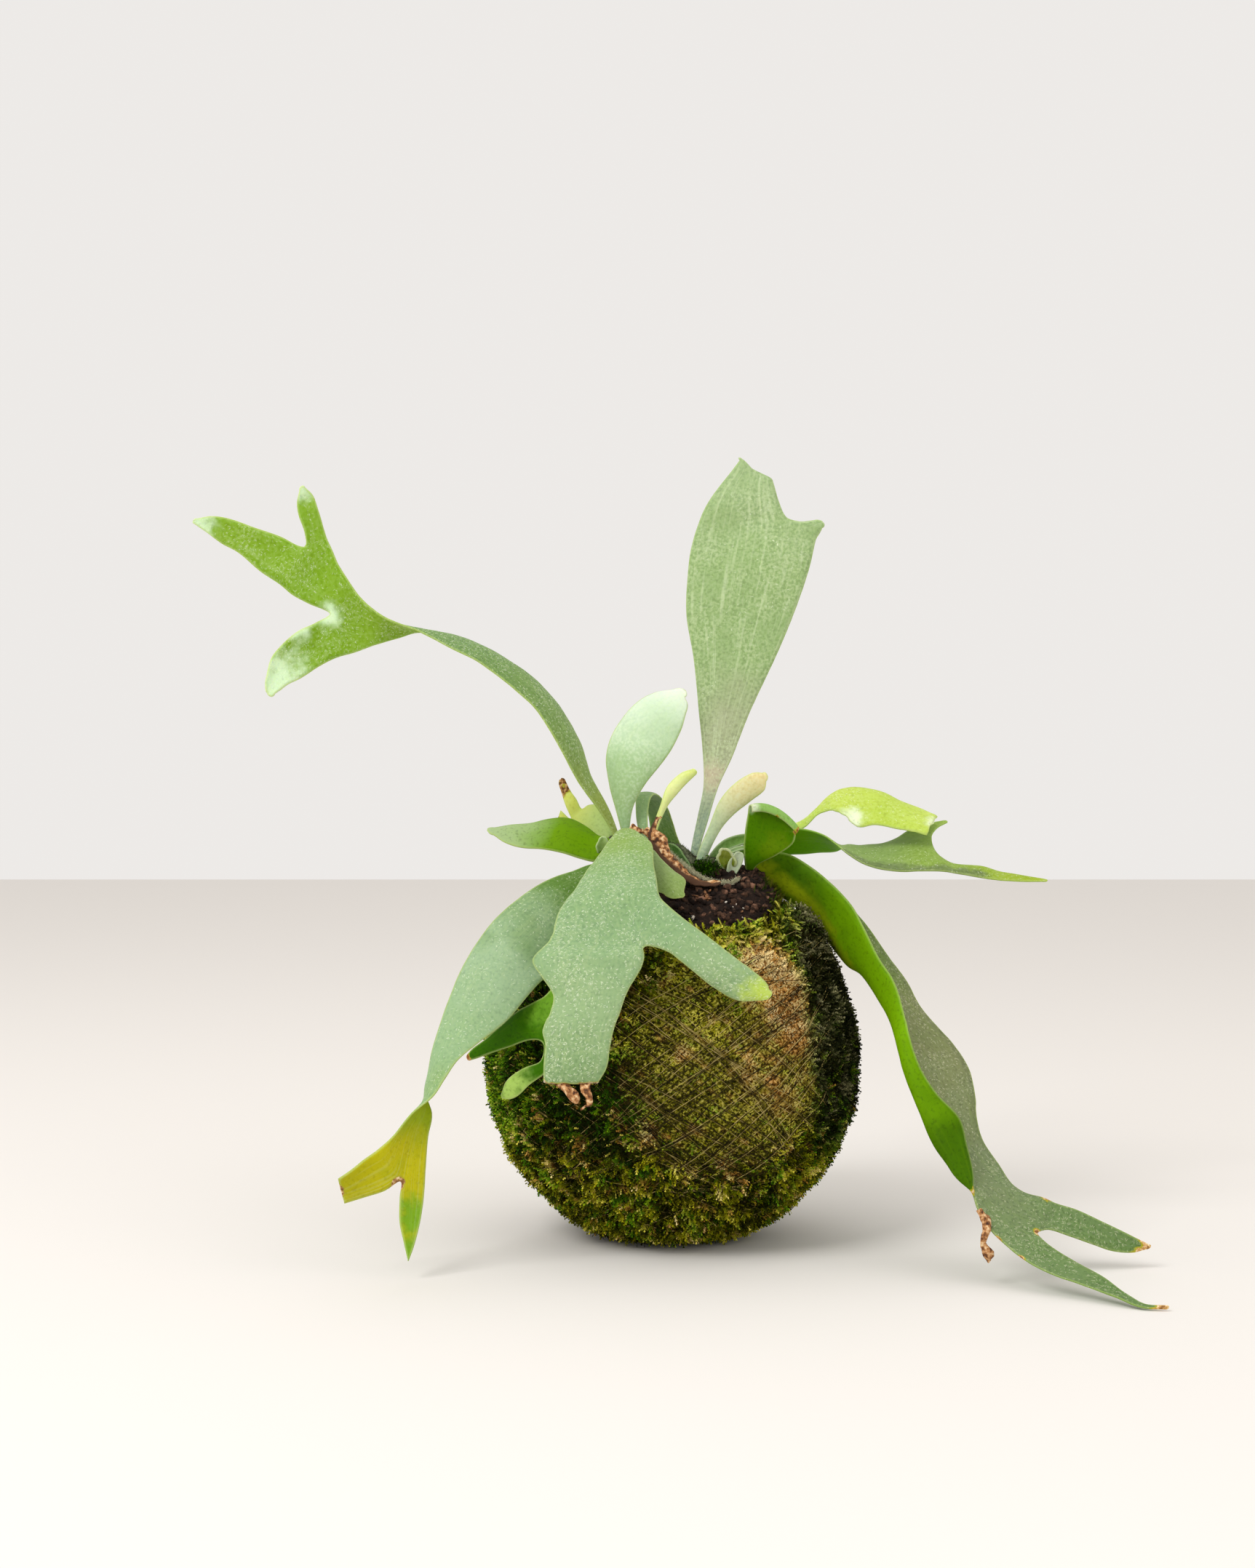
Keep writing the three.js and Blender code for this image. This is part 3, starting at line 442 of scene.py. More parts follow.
def thread_loops(normals, offsets):
    """Thin tubes along the loops: a circle in each plane, pushed out to the moss surface, with a
    small section of THREAD_SIDES corners carried along it."""
    first = unit(np.cross(normals, [0.0, 0.0, 1.0]))
    second = np.cross(normals, first)
    angle = np.linspace(0, 2 * math.pi, THREAD_STEPS, endpoint=False)[None, :, None]
    ring = np.cos(angle) * first[:, None] + np.sin(angle) * second[:, None]
    share = (offsets / MOSS_RADIUS)[:, None, None]
    around = unit(normals[:, None] * share + ring * np.sqrt(1 - share**2))
    slack = 0.3 * (noise(around * MOSS_RADIUS, 6.0, 12) - 0.5)
    lift = THREAD_LIFT_LOOSE + THREAD_LIFT_TIGHT * tight(around) + slack
    path = ball_points(around, moss_radius(around) + lift)
    path[..., 2] = np.maximum(path[..., 2], THREAD_RADIUS)
    section = np.arange(THREAD_SIDES) * 2 * math.pi / THREAD_SIDES
    cosine, sine = np.cos(section)[:, None], np.sin(section)[:, None]
    outward = around[:, :, None] * cosine + normals[:, None, None] * sine
    points = path[:, :, None] + outward * THREAD_RADIUS
    numbers = np.arange(points[..., 0].size).reshape(points.shape[:3])
    ahead, beside = np.roll(numbers, -1, axis=1), np.roll(numbers, -1, axis=2)
    both = np.roll(ahead, -1, axis=2)
    faces = np.stack([numbers, beside, both, ahead], axis=-1).reshape(-1, 4)
    return new_mesh("binding_thread_fine", points.reshape(-1, 3) * MM, [faces])


thread, add, shader, place = new_material("waxed cotton thread")
worn = add("TexNoise", {"Vector": place, "Scale": 1 / 0.004, "Detail": 2})
clean = add("Attribute", attribute_name="clean")
aged_share = add("Math", [worn, clean], operation="ADD")
strand = add("ValToRGB", [aged_share], stops=[
    (0.35, "#171104"), (0.6, "#33290C"), (0.8, "#7A6A30"), (1.0, "#C0AC6C"),
])
set_inputs(shader, {"Base Color": strand, "Roughness": 0.6, "Specular IOR Level": 0.1})
plane_normals, plane_offsets = thread_planes()
cleanness = np.random.default_rng(6).uniform(-0.12, 0.12, len(plane_normals))
rising = plane_normals[:, 0] < 0
straw = cleanness > np.where(rising, 0.075, 0.05)
cleanness += np.where(straw, np.where(rising, 0.2, 0.14) + 1.6 * cleanness, 0.0)
pulled = ~rising & (np.arange(len(plane_normals)) % 2 == 0)
new_piece(
    "binding_thread_fine", thread_loops(plane_normals, plane_offsets), thread,
    {"clean": np.repeat(cleanness, THREAD_STEPS * THREAD_SIDES)}, ["binding_thread"],
)

# %% [markdown]
# ## The living moss
#
# Moss is thousands of leafy sprigs a few millimetres long. Each one here is a small feather: a bent
# stem of three pieces with a pointed leaflet on each side of every piece, six triangles in all. A
# spiral of evenly spaced points round the sphere seeds them. Where the thread binds the moss
# tightly they lie short and flat, most of them along the crossed turns, and where it is loose they
# stand up as fur. The tint of each sprig comes from its place: bright green, olive, tan where it
# has dried, dark grey-green where it is older. Each quarter of the ball is a piece of its own, to
# keep the meshes small.

# %% Sprig shapes
def sprigs(bases, ahead, up, length, leaflet, curl, pieces=3):
    """Feathers from bases along unit vectors ahead, bent by curl towards up. Stem point k lies at
    share s = k/pieces of the length, raised by curl s squared. Each leaflet is the triangle from
    two neighbouring stem points to a tip ahead of them and to one side, longest in the middle."""
    count = len(bases)
    side = unit(np.cross(ahead, up))
    share = np.linspace(0, 1, pieces + 1)[None, :, None]
    reach = length[:, None, None]
    bend = (curl * length)[:, None, None] * share**2
    stem = bases[:, None] + ahead[:, None] * reach * share + up[:, None] * bend
    middle = (stem[:, :-1] + stem[:, 1:]) / 2
    middle_share = (share[:, :-1] + share[:, 1:]) / 2
    taper = (0.5 + 0.5 * np.sin(math.pi * middle_share)) * (1.1 - 0.4 * middle_share)
    blade = leaflet[:, None, None] * taper
    forward = ahead[:, None] * 0.75 * blade
    tips = [middle + forward + side[:, None] * blade * turn + up[:, None] * blade * 0.25
            for turn in (0.8, -0.8)]
    points = np.concatenate([stem, *tips], axis=1)
    per_sprig = points.shape[1]
    k = np.arange(pieces)
    right = np.stack([k, k + 1, pieces + 1 + k], axis=-1)
    left = np.stack([k + 1, k, 2 * pieces + 1 + k], axis=-1)
    faces = np.vstack([right, left])[None] + np.arange(count)[:, None, None] * per_sprig
    tipness = np.concatenate([share[0, :, 0], np.ones(2 * pieces)])
    return points.reshape(-1, 3), faces.reshape(-1, 3), np.tile(tipness, count), per_sprig


# %% Grooves of the thread
def groove(around):
    """1 right beside the turns that are pulled hard and cut a groove into the moss, and 0 from
    0.7 mm away. These are half of the turns that fall to the right."""
    distance = np.concatenate([
        np.abs(block @ plane_normals[pulled].T * MOSS_RADIUS - plane_offsets[pulled]).min(axis=1)
        for block in np.array_split(around, 20)
    ])
    return 1 - step_up(distance, 0.25, 0.7)


# %% Moss sprig material
living_moss, add, shader, place = new_material("living feather moss")
shares_of = {
    key: add("Attribute", attribute_name=key) for key in ("tint", "tan", "grey", "olive", "tip")
}
MOSS_RAMPS = {
    "green": [(0.0, "#0E1E00"), (0.3, "#234402"), (0.55, "#457604"), (0.78, "#74A00E"), (1.0, "#B4D040")],
    "olive": [(0.0, "#1E1D00"), (0.3, "#4E4E04"), (0.55, "#868408"), (0.78, "#BEB61C"), (1.0, "#F2E45C")],
    "tan": [(0.0, "#8E5C1C"), (0.3, "#CC9038"), (0.6, "#F2BA5C"), (1.0, "#FFE6A4")],
    "grey": [(0.0, "#080B01"), (0.4, "#1C2108"), (0.7, "#40421F"), (1.0, "#8C8862")],
}
whole = None
for key, stops in MOSS_RAMPS.items():
    ramp = add("ValToRGB", [shares_of["tint"]], stops=stops)
    whole = add("Mix", {0: shares_of[key], 6: whole, 7: ramp}, **RGBA) if whole else ramp
# Each sprig darkens from its tip down to its base: painted shade deep in the moss between the sprigs.
painted_base_shade = add("MapRange", {"Value": shares_of["tip"], "To Min": 0.4})
shaded = add("Mix", {0: 1, 6: whole, 7: painted_base_shade}, blend_type="MULTIPLY", **RGBA)
set_inputs(shader, {"Base Color": shaded, "Roughness": 0.7, "Specular IOR Level": 0.05})
print("material:", living_moss.name)

# %% Living moss in four quarters
SEEDED = 94000
MOSS_QUARTERS = {
    "front_right": (1, -1), "front_left": (-1, -1), "back_right": (1, 1), "back_left": (-1, 1),
}


def moss_seeds():
    """Evenly spread directions by the golden-angle spiral, a little shaken, outside the opening
    and off the flat spot."""
    rng = np.random.default_rng(31)
    number = np.arange(SEEDED) + 0.5
    polar = np.arccos(1 - 2 * number / SEEDED) + rng.normal(0, 0.006, SEEDED)
    azimuth = (number * math.pi * (3 - math.sqrt(5))) % (2 * math.pi)
    around = direction(polar, azimuth)
    kept = (polar > opening_edge(azimuth) - 0.01) & (around[:, 2] * MOSS_RADIUS > -63.8)
    return around[kept], rng


around, rng = moss_seeds()
count = len(around)
places = around * MOSS_RADIUS
pressed = tight(around)
tan, grey, olive = moss_zones(around)
olive = np.clip(olive + 0.7 * (rng.random(count) - 0.6), 0, 1) * (1 - grey)
pressed *= 1 - grey
beside_thread = groove(around) * np.clip(1.5 * pressed, 0, 1)
low = 0.85 * pressed
heading = 2 * math.pi * 2 * noise(places, 9.0, 42) + rng.normal(0, 1.1, count)
along_turns = np.where(rng.random(count) < 0.5, 0.72, 2.4) + rng.normal(0, 0.2, count)
heading = np.where(rng.random(count) < 0.75 * pressed, along_turns, heading)
east = unit(np.cross([0.0, 0.0, 1.0], around))
north = np.cross(around, east)
flat = east * np.cos(heading)[:, None] + north * np.sin(heading)[:, None]
lift = np.radians(10 + 54 * (1 - low) * rng.uniform(0.35, 1, count))
ahead = flat * np.cos(lift)[:, None] + around * np.sin(lift)[:, None]
roll = rng.normal(0, 0.55, count)
side = np.cross(ahead, around)
up = unit(around * np.cos(roll)[:, None] + side * np.sin(roll)[:, None])
length = (0.95 + 1.45 * (1 - low)) * rng.uniform(0.7, 1.35, count) * (1 - 0.3 * beside_thread)
leaflet = (0.38 + 0.42 * (1 - low)) * rng.uniform(0.8, 1.25, count)
curl = rng.uniform(-0.35, 0.35, count)
clump = 1.3 * noise(places, 3.4, 41) + 0.9 * noise(places, 1.3, 45) - 1.1
seat = moss_radius(around) - 0.2 + 0.7 * clump * (1 - 0.6 * low)
bases = ball_points(around, seat)
bases[:, 2] = np.maximum(bases[:, 2], 0.6)
ahead[:, 2] = np.where(bases[:, 2] < 3, np.maximum(ahead[:, 2], -0.1), ahead[:, 2])
# The clump term makes the raised clumps lighter and the hollows between them darker: painted shade. The
# noise terms are the moss's own patchy tone.
bright = 0.75 * noise(places, 5.0, 43) + 0.7 * noise(places, 1.6, 44) + 0.35 * clump
# The moss is a little lighter on its left rim, where the light falls on it: painted light.
lit_left_rim = step_up(-around[:, 0], 0.72, 0.95)
# Darker under the front frond that hangs over the moss: a painted shadow.
shadow = 0.24 * near(around, (-0.42, -0.88, -0.2), 10, 24)
tint = bright - 0.6 + 0.55 * rng.random(count) + 0.08 * lit_left_rim + 0.52 * pressed + 0.44 * tan
tint += grey * (0.03 + 0.24 * step_up(around[:, 2], 0.35, 0.65)) + 0.22 * (1 - olive) * pressed
# Beside the pulled turns the sprigs are also made darker: painted shade in the grooves.
tint = np.clip(tint - 0.8 * beside_thread - shadow, 0, 1)
golden = rng.random(count) < 0.012
tint[golden], olive[golden] = 1.0, 1.0
moss_shares = {"tint": tint, "tan": tan, "grey": grey, "olive": olive}

for quarter, (right, back) in MOSS_QUARTERS.items():
    mine = (np.sign(around[:, 0]) * right > 0) & (np.sign(around[:, 1]) * back > 0)
    points, faces, tipness, per_sprig = sprigs(
        bases[mine], ahead[mine], up[mine], length[mine], leaflet[mine], curl[mine]
    )
    points[:, 2] = np.maximum(points[:, 2], 0.05)
    shares = {key: np.repeat(share[mine], per_sprig) for key, share in moss_shares.items()}
    shares["tip"] = tipness
    loose_piece(f"moss_sprigs_{quarter}", points, faces, living_moss, shares)

# %% [markdown]
# ## The soil
#
# Inside the moss is potting soil: dark, crumbly, with bits of bark and white grains of perlite. Its
# open top is a low mound round the crown. The body is a closed shell again, whose profile starts
# in the plain hole for the root ball, goes over the mound and down inside the moss. Crumbs, bark
# and perlite are loose lumps on it: each is a shaken icosahedron, turned at random, so no two look
# alike though they cost only twenty faces each.

# %% Soil mound
ROOT_X, ROOT_Y = 2, 2
ROOT_TOP_Z, ROOT_BOTTOM_Z = 134, 80
ROOT_RADIUS_TOP, ROOT_RADIUS_BOTTOM = 9, 6
SOIL_GAP = 0.3
HEAP_X, HEAP_Y, HEAP_RISE = 33, -9, 10.5
HEAP_SPREAD_X, HEAP_SPREAD_Y = 14, 10


def soil_mound(flat):
    """Points on the mound over flat (x, y) places. The mound is the sphere of SOIL_MOUND_RADIUS,
    which falls by the fourth power of the polar angle, with crumbs of a millimetre. A heap in the
    form of a bell curve is piled against the crown on the right."""
    outward = np.linalg.norm(flat, axis=-1)
    polar = np.arcsin(np.clip(outward / SOIL_MOUND_RADIUS, 0, 1))
    azimuth = np.arctan2(flat[..., 1], flat[..., 0])
    crumbs = np.sin(9 * polar + 4 * azimuth) * np.cos(5 * azimuth - 14 * polar)
    fall = SOIL_MOUND_FALL * (polar / OPENING_ANGLE) ** 4
    radius = SOIL_MOUND_RADIUS - fall + crumbs * np.sin(polar)
    points = BALL_CENTRE + direction(polar, azimuth) * radius[..., None]
    right, back = (points[..., 0] - HEAP_X) / HEAP_SPREAD_X, (points[..., 1] - HEAP_Y) / HEAP_SPREAD_Y
    points[..., 2] += HEAP_RISE * np.exp(-(right**2 + back**2) / 2)
    return points


def soil_ball():
    """Profile rows round the axis: up the root ball's hole, out over the mound to the edge of the
    moss, and down inside the moss to the lowest point."""
    azimuth = np.linspace(0, 2 * math.pi, ROUND_COLUMNS, endpoint=False)
    ring = np.stack([np.cos(azimuth), np.sin(azimuth)], axis=-1)
    root = np.array([ROOT_X, ROOT_Y])
    up = np.linspace(0, 0.86, 6)[:, None, None]
    wide = ROOT_RADIUS_BOTTOM + (ROOT_RADIUS_TOP - ROOT_RADIUS_BOTTOM) * up + SOIL_GAP
    hole_z = ROOT_BOTTOM_Z - SOIL_GAP + (ROOT_TOP_Z - ROOT_BOTTOM_Z) * up
    hole = np.concatenate([root + ring * wide, np.broadcast_to(hole_z, (6, ROUND_COLUMNS, 1))], axis=-1)
    edge = opening_edge(azimuth) - 0.005
    rim = ring * (np.sin(edge) * (SOIL_MOUND_RADIUS - SOIL_MOUND_FALL))[:, None]
    inside = root + ring * (ROOT_RADIUS_TOP + SOIL_GAP)
    out = np.linspace(0, 1, 48)[:, None, None]
    mound = soil_mound(inside + (rim - inside) * out)
    rough = noise(mound, 1.4, 61) * 1.1 + noise(mound, 3.5, 62) * 1.2 - 1.3
    mound[..., 2] += rough * np.sin(math.pi * np.clip(out[..., 0] * 1.08, 0, 1)) ** 0.3
    below = edge + (math.pi - edge) * np.linspace(0.01, 0.99, 40)[:, None]
    wall = BALL_CENTRE + direction(below, azimuth) * (MOSS_INNER_RADIUS - SOIL_GAP)
    rows = np.concatenate([hole, mound, wall])
    hole_floor = [ROOT_X, ROOT_Y, ROOT_BOTTOM_Z - SOIL_GAP]
    lowest = BALL_CENTRE - [0, 0, MOSS_INNER_RADIUS - SOIL_GAP]
    points, faces = closed_shell(rows, hole_floor, lowest)
    return new_mesh("soil_ball_fine", points * MM, faces)


# %% Loose lumps
def icosahedron():
    """Its twelve corners, the cyclic turns of (0, 1, golden ratio), and its twenty faces: every
    three corners that lie one edge apart, wound outwards."""
    golden = (1 + math.sqrt(5)) / 2
    signs = np.array([[0, a, b * golden] for a in (-1, 1) for b in (-1, 1)])
    corners = np.vstack([np.roll(signs, turn, axis=1) for turn in range(3)])
    close = np.linalg.norm(corners[:, None] - corners[None], axis=2) < 2.1
    faces = [
        (a, b, c)
        for a, b, c in np.ndindex(12, 12, 12)
        if a < b < c and close[a, b] and close[b, c] and close[a, c]
    ]
    faces = np.array(faces)
    a, b, c = corners[faces[:, 0]], corners[faces[:, 1]], corners[faces[:, 2]]
    inward = (np.cross(b - a, c - a) * a).sum(axis=1) < 0
    faces[inward] = faces[inward][:, ::-1]
    return unit(corners), faces


def turns(rng, count):
    """Random turning matrices (count, 3, 3) from unit quaternions."""
    w, x, y, z = unit(rng.normal(size=(count, 4))).T
    rows = [
        [1 - 2 * (y * y + z * z), 2 * (x * y - w * z), 2 * (x * z + w * y)],
        [2 * (x * y + w * z), 1 - 2 * (x * x + z * z), 2 * (y * z - w * x)],
        [2 * (x * z - w * y), 2 * (y * z + w * x), 1 - 2 * (x * x + y * y)],
    ]
    return np.moveaxis(np.array(rows), -1, 0)


def lumps(rng, centres, sizes, stretch):
    """One shaken icosahedron at each centre: corners at 0.7 to 1.3 of its size, stretched along
    its own axes and turned at random."""
    corners, faces = icosahedron()
    count = len(centres)
    shaken = corners[None] * rng.uniform(0.7, 1.3, (count, 12, 1)) * (sizes[:, None] * stretch)[:, None]
    placed = np.einsum("nij,nkj->nki", turns(rng, count), shaken) + centres[:, None]
    faces = faces[None] + np.arange(count)[:, None, None] * 12
    return placed.reshape(-1, 3), faces.reshape(-1, 3)


# %% [markdown]
# Damp peat is almost black-brown, drier crumbs on top are lighter and a little redder. Nothing in
# it shines. The same material covers the mound and its crumbs, and each crumb carries a tone of
# its own. Bark is red-brown and fibrous, and perlite is a white volcanic glass, puffed like popcorn.

# %% Soil, bark and perlite materials
soil, add, shader, place = new_material("damp potting soil")
tone = add("Attribute", attribute_name="tone")
peat = add("TexNoise", {"Vector": place, "Scale": 1 / 0.0025, "Detail": 5, "Roughness": 0.65})
mixed = add("Math", [peat, tone], operation="ADD")
peat_colour = add("ValToRGB", [mixed], stops=[
    (0.4, "#100B09"), (0.65, "#241812"), (0.85, "#50382A"), (1.0, "#8A6450"),
])
bump = add("Bump", {"Height": peat, "Strength": 1.0, "Distance": 0.7 * MM})
set_inputs(shader, {
    "Base Color": peat_colour, "Normal": bump, "Roughness": 0.95, "Specular IOR Level": 0.2,
})

LUMP_FINISHES = {
    "bark": ("shredded bark", [(0.3, "#3A2212"), (0.5, "#6E4526"), (0.7, "#A8764A")], 0.85),
    "perlite": ("puffed perlite", [(0.35, "#6B5C4C"), (0.5, "#B8AC9C"), (0.65, "#F6F2EA")], 0.8),
}
lump_materials = {}
for key, (title, stops, roughness) in LUMP_FINISHES.items():
    material, add, shader, place = new_material(title)
    grain = add("TexNoise", {"Vector": place, "Scale": 1 / 0.0015, "Detail": 4})
    tint_of = add("ValToRGB", [grain], stops=stops)
    bump = add("Bump", {"Height": grain, "Strength": 0.8, "Distance": 0.4 * MM})
    set_inputs(shader, {"Base Color": tint_of, "Normal": bump, "Roughness": roughness})
    lump_materials[key] = material
print("materials:", soil.name, [material.name for material in lump_materials.values()])

# %% Soil pieces
ground_mesh = soil_ball()
ground_tone = np.full(len(ground_mesh.vertices), 0.12)
new_piece("soil_ball_fine", ground_mesh, soil, {"tone": ground_tone}, ["soil_ball"])

CRUMBS, BARK_CHIPS, PERLITE_GRAINS = 2500, 34, 22


def scatter(rng, count, sink):
    """Places all over the open mound, evenly by area, and sink mm below its surface."""
    azimuth = rng.uniform(0, 2 * math.pi, count)
    share = np.sqrt(rng.uniform(0.03, 1.04, count))
    outward = share * np.sin(opening_edge(azimuth)) * (SOIL_MOUND_RADIUS - SOIL_MOUND_FALL)
    flat = np.stack([np.cos(azimuth), np.sin(azimuth)], axis=-1) * outward[:, None]
    return soil_mound(flat) - [0, 0, sink]


rng = np.random.default_rng(71)
crumb_sizes = 0.4 + 1.5 * rng.random(CRUMBS) ** 2.6
points, faces = lumps(rng, scatter(rng, CRUMBS, 0.1), crumb_sizes, np.array([1.0, 0.85, 0.75]))
crumb_tone = np.repeat(0.4 * rng.random(CRUMBS) ** 1.6, 12)
loose_piece("soil_crumbs", points, faces, soil, {"tone": crumb_tone})

chip_sizes = rng.uniform(0.7, 2.0, BARK_CHIPS)
chip_places = scatter(rng, BARK_CHIPS, -0.3)
chip_places[:8] = soil_mound(rng.normal(0, 1.6, (8, 2)) + [11.7, -24]) + [0, 0, 0.5]
points, faces = lumps(rng, chip_places, chip_sizes, np.array([1.4, 0.5, 0.22]))
loose_piece("bark_chips", points, faces, lump_materials["bark"])

# Perlite gathers in a patch near the front, with single grains elsewhere.
PERLITE_PATCH = np.array([[20.5, -26.5], [24.7, -24], [28.7, -21], [31, -22], [24, -28]])
patch = PERLITE_PATCH[rng.integers(0, len(PERLITE_PATCH), 10)] + rng.normal(0, 1.6, (10, 2))
patch[:2] = [[6.4, -36.5], [5.6, -36]]
grains = np.vstack([soil_mound(patch) + [0, 0, 0.3], scatter(rng, PERLITE_GRAINS - 10, 0.0)])
grain_sizes = 0.3 + 0.5 * rng.random(PERLITE_GRAINS) ** 2
grain_sizes[:2] = [1.4, 1.0]
points, faces = lumps(rng, grains, grain_sizes, np.array([1.2, 0.8, 0.5]))
loose_piece("perlite_grains", points, faces, lump_materials["perlite"])

# %% [markdown]
# ## Tufts on the rim
#
# Where the moss ends round the opening its sprigs are not pressed by thread, so they are longer,
# feathery and stand over the soil. They are the same feathers as before with more leaflets. The
# front ones are yellow-green with tan ones between them, and the ones to the right are dark. Some
# dark ones also grow on the heap of soil.

# %% Rim tufts
RIM_TUFTS = 2600
HEAP_TUFTS = 620
RIM_PIECES = 7
rng = np.random.default_rng(83)
azimuth = rng.uniform(0, 2 * math.pi, RIM_TUFTS)
back_from_edge = rng.normal(0.045, 0.055, RIM_TUFTS)
polar = opening_edge(azimuth) + np.clip(back_from_edge, -0.02, 0.22)
around = direction(polar, azimuth)
rim_east = unit(np.cross([0.0, 0.0, 1.0], around))
rim_down = np.cross(rim_east, around)
heading = rng.normal(0, 1.1, RIM_TUFTS)
leaning = rim_down * np.cos(heading)[:, None] + rim_east * np.sin(heading)[:, None]
leaning = leaning * np.where(rng.random(RIM_TUFTS) < 0.3, -1, 1)[:, None]
lift = np.radians(rng.uniform(5, 50, RIM_TUFTS))[:, None]
ahead = leaning * np.cos(lift) + around * np.sin(lift)
up = unit(around * np.cos(lift) - leaning * np.sin(lift) + 0.35 * rng.normal(size=(RIM_TUFTS, 3)))
tan, grey, olive = moss_zones(around)
seat = moss_radius(around) - 0.5 + 0.8 * noise(around * MOSS_RADIUS, 3.0, 84)
bases = ball_points(around, seat)
on_heap = np.arange(RIM_TUFTS) < HEAP_TUFTS
spots = rng.normal(0, 1, (HEAP_TUFTS, 2)) * [5, 8] + [43.5, -13]
bases[on_heap] = soil_mound(spots)
ahead[on_heap] = unit(rng.normal(0, 0.5, (HEAP_TUFTS, 3)) + [0.5, -0.3, 0.8])
grey = np.where(on_heap, 0.9, grey)
length = rng.uniform(2.2, 4.4, RIM_TUFTS) * (1 - 0.25 * grey)
points, faces, tipness, per_sprig = sprigs(
    bases, ahead, up, length, length * rng.uniform(0.24, 0.32, RIM_TUFTS),
    rng.uniform(-0.3, 0.3, RIM_TUFTS), RIM_PIECES,
)
tan_clumps = step_up(noise(around * MOSS_RADIUS, 5.5, 85) + 0.25 * rng.random(RIM_TUFTS), 0.58, 0.72)
tan_clumps *= 1 - step_up(-around[:, 1], 0.2, 0.4)
tan_clumps += near(around, (0.475, -0.578, 0.661), 2, 6) + 0.7 * near(around, (0.3, -0.67, 0.68), 1, 5)
tan_share = np.clip(0.6 * tan + 0.9 * tan_clumps, 0, 1)
tint = np.clip(rng.normal(0.93, 0.14, RIM_TUFTS), 0.1, 1) - 0.4 * on_heap
rim_shares = {"tint": tint, "tan": tan_share * (1 - grey), "grey": 0.7 * grey, "olive": 0.8 * olive}
shares = {key: np.repeat(share, per_sprig) for key, share in rim_shares.items()}
loose_piece("moss_rim_tufts", points, faces, living_moss, {"tip": tipness, **shares})

# %% [markdown]
# ## The rhizome
#
# Staghorn ferns creep on a short, thick stem, the rhizome, wrapped in felt and old scales. Here it
# is a knobbly mass of overlapping lumps that sits on the soil, with its roots in a tapering ball
# below. The lumps are spheres scaled to half sizes, those of the CAD model but for the two on the
# right, which the soil has half buried. A voxel remesh melts them into one skin, and noise along
# the normals makes that skin knobbly.

# %% Rhizome
RHIZOME_LUMPS = np.array([
    [-17, 2, 138, 13, 12, 12],
    [-4, 1, 136, 14, 15, 11],
    [12, 1, 133, 12, 14, 7.6],
    [26, 1, 130.5, 10, 11, 6],
    [3, -6, 131, 13, 10, 6],
])
LUMP_AZIMUTHS = np.linspace(0, 2 * math.pi, 28, endpoint=False)
LUMP_SHRINK = 0.93
SKIN_VOXEL = 0.9
KNOB_HEIGHT = 1.5


def lump_shell(centre, half):
    """A closed sphere of 16 rows, scaled to half sizes about a centre."""
    polar = np.linspace(0, math.pi, 18)[1:-1, None]
    points, faces = closed_shell(direction(polar, LUMP_AZIMUTHS), [0, 0, 1], [0, 0, -1])
    return points * half + centre, faces


def root_shell():
    """The root ball: a tapering drum from ROOT_BOTTOM_Z to ROOT_TOP_Z with closed ends."""
    up = np.linspace(1, 0, 24)[:, None]
    wide = ROOT_RADIUS_BOTTOM + (ROOT_RADIUS_TOP - ROOT_RADIUS_BOTTOM) * up
    height = ROOT_BOTTOM_Z + (ROOT_TOP_Z - ROOT_BOTTOM_Z) * up
    x = ROOT_X + wide * np.cos(LUMP_AZIMUTHS)
    y = ROOT_Y + wide * np.sin(LUMP_AZIMUTHS)
    rows = np.stack([x, y, np.broadcast_to(height, x.shape)], axis=-1)
    return closed_shell(rows, [ROOT_X, ROOT_Y, ROOT_TOP_Z], [ROOT_X, ROOT_Y, ROOT_BOTTOM_Z])


def melted(parts):
    """One mesh with a closed skin round all the parts, by a voxel remesh."""
    points, faces, start = [], [], 0
    for part_points, part_faces in parts:
        points.append(part_points)
        faces += [group + start for group in part_faces]
        start += len(part_points)
    rough_mesh = new_mesh("lumps", np.vstack(points) * MM, faces)
    rough_piece = bpy.data.objects.new("lumps", rough_mesh)
    bpy.context.scene.collection.objects.link(rough_piece)
    skin = rough_piece.modifiers.new("skin", "REMESH")
    skin.mode = "VOXEL"
    skin.voxel_size = SKIN_VOXEL * MM
    bpy.context.view_layer.update()
    finished = rough_piece.evaluated_get(bpy.context.evaluated_depsgraph_get())
    mesh = bpy.data.meshes.new_from_object(finished)
    bpy.data.objects.remove(rough_piece)
    bpy.data.meshes.remove(rough_mesh)
    return mesh


def mesh_arrays(mesh):
    """A mesh's points in mm and its normals."""
    points = np.empty(len(mesh.vertices) * 3, dtype=np.float32)
    normals = np.empty_like(points)
    mesh.vertices.foreach_get("co", points)
    mesh.vertices.foreach_get("normal", normals)
    return points.reshape(-1, 3).astype(float) / MM, normals.reshape(-1, 3).astype(float)


parts = [lump_shell(lump[:3], lump[3:] * LUMP_SHRINK) for lump in RHIZOME_LUMPS] + [root_shell()]
rhizome_mesh = melted(parts)
rhizome_points, rhizome_normals = mesh_arrays(rhizome_mesh)
knobs = noise(rhizome_points, 5.0, 91) + 0.45 * noise(rhizome_points, 1.8, 92) - 0.75
above_soil = step_up(rhizome_points[:, 2], 128, 134)
rhizome_points += rhizome_normals * (KNOB_HEIGHT * knobs * above_soil)[:, None]
rhizome_mesh.vertices.foreach_set("co", (rhizome_points * MM).astype(np.float32).ravel())
rhizome_mesh.update()
rhizome_mesh.shade_smooth()
print("rhizome skin:", len(rhizome_points), "points")

# %% [markdown]
# The skin is bark-brown where it is old and pale where the felt of the young growth covers it. Felt
# is a mat of hairs far thinner than a pixel, so the surface only shows as a dusty, shineless
# mottle, and a sparse fuzz of real hairs breaks its outline.

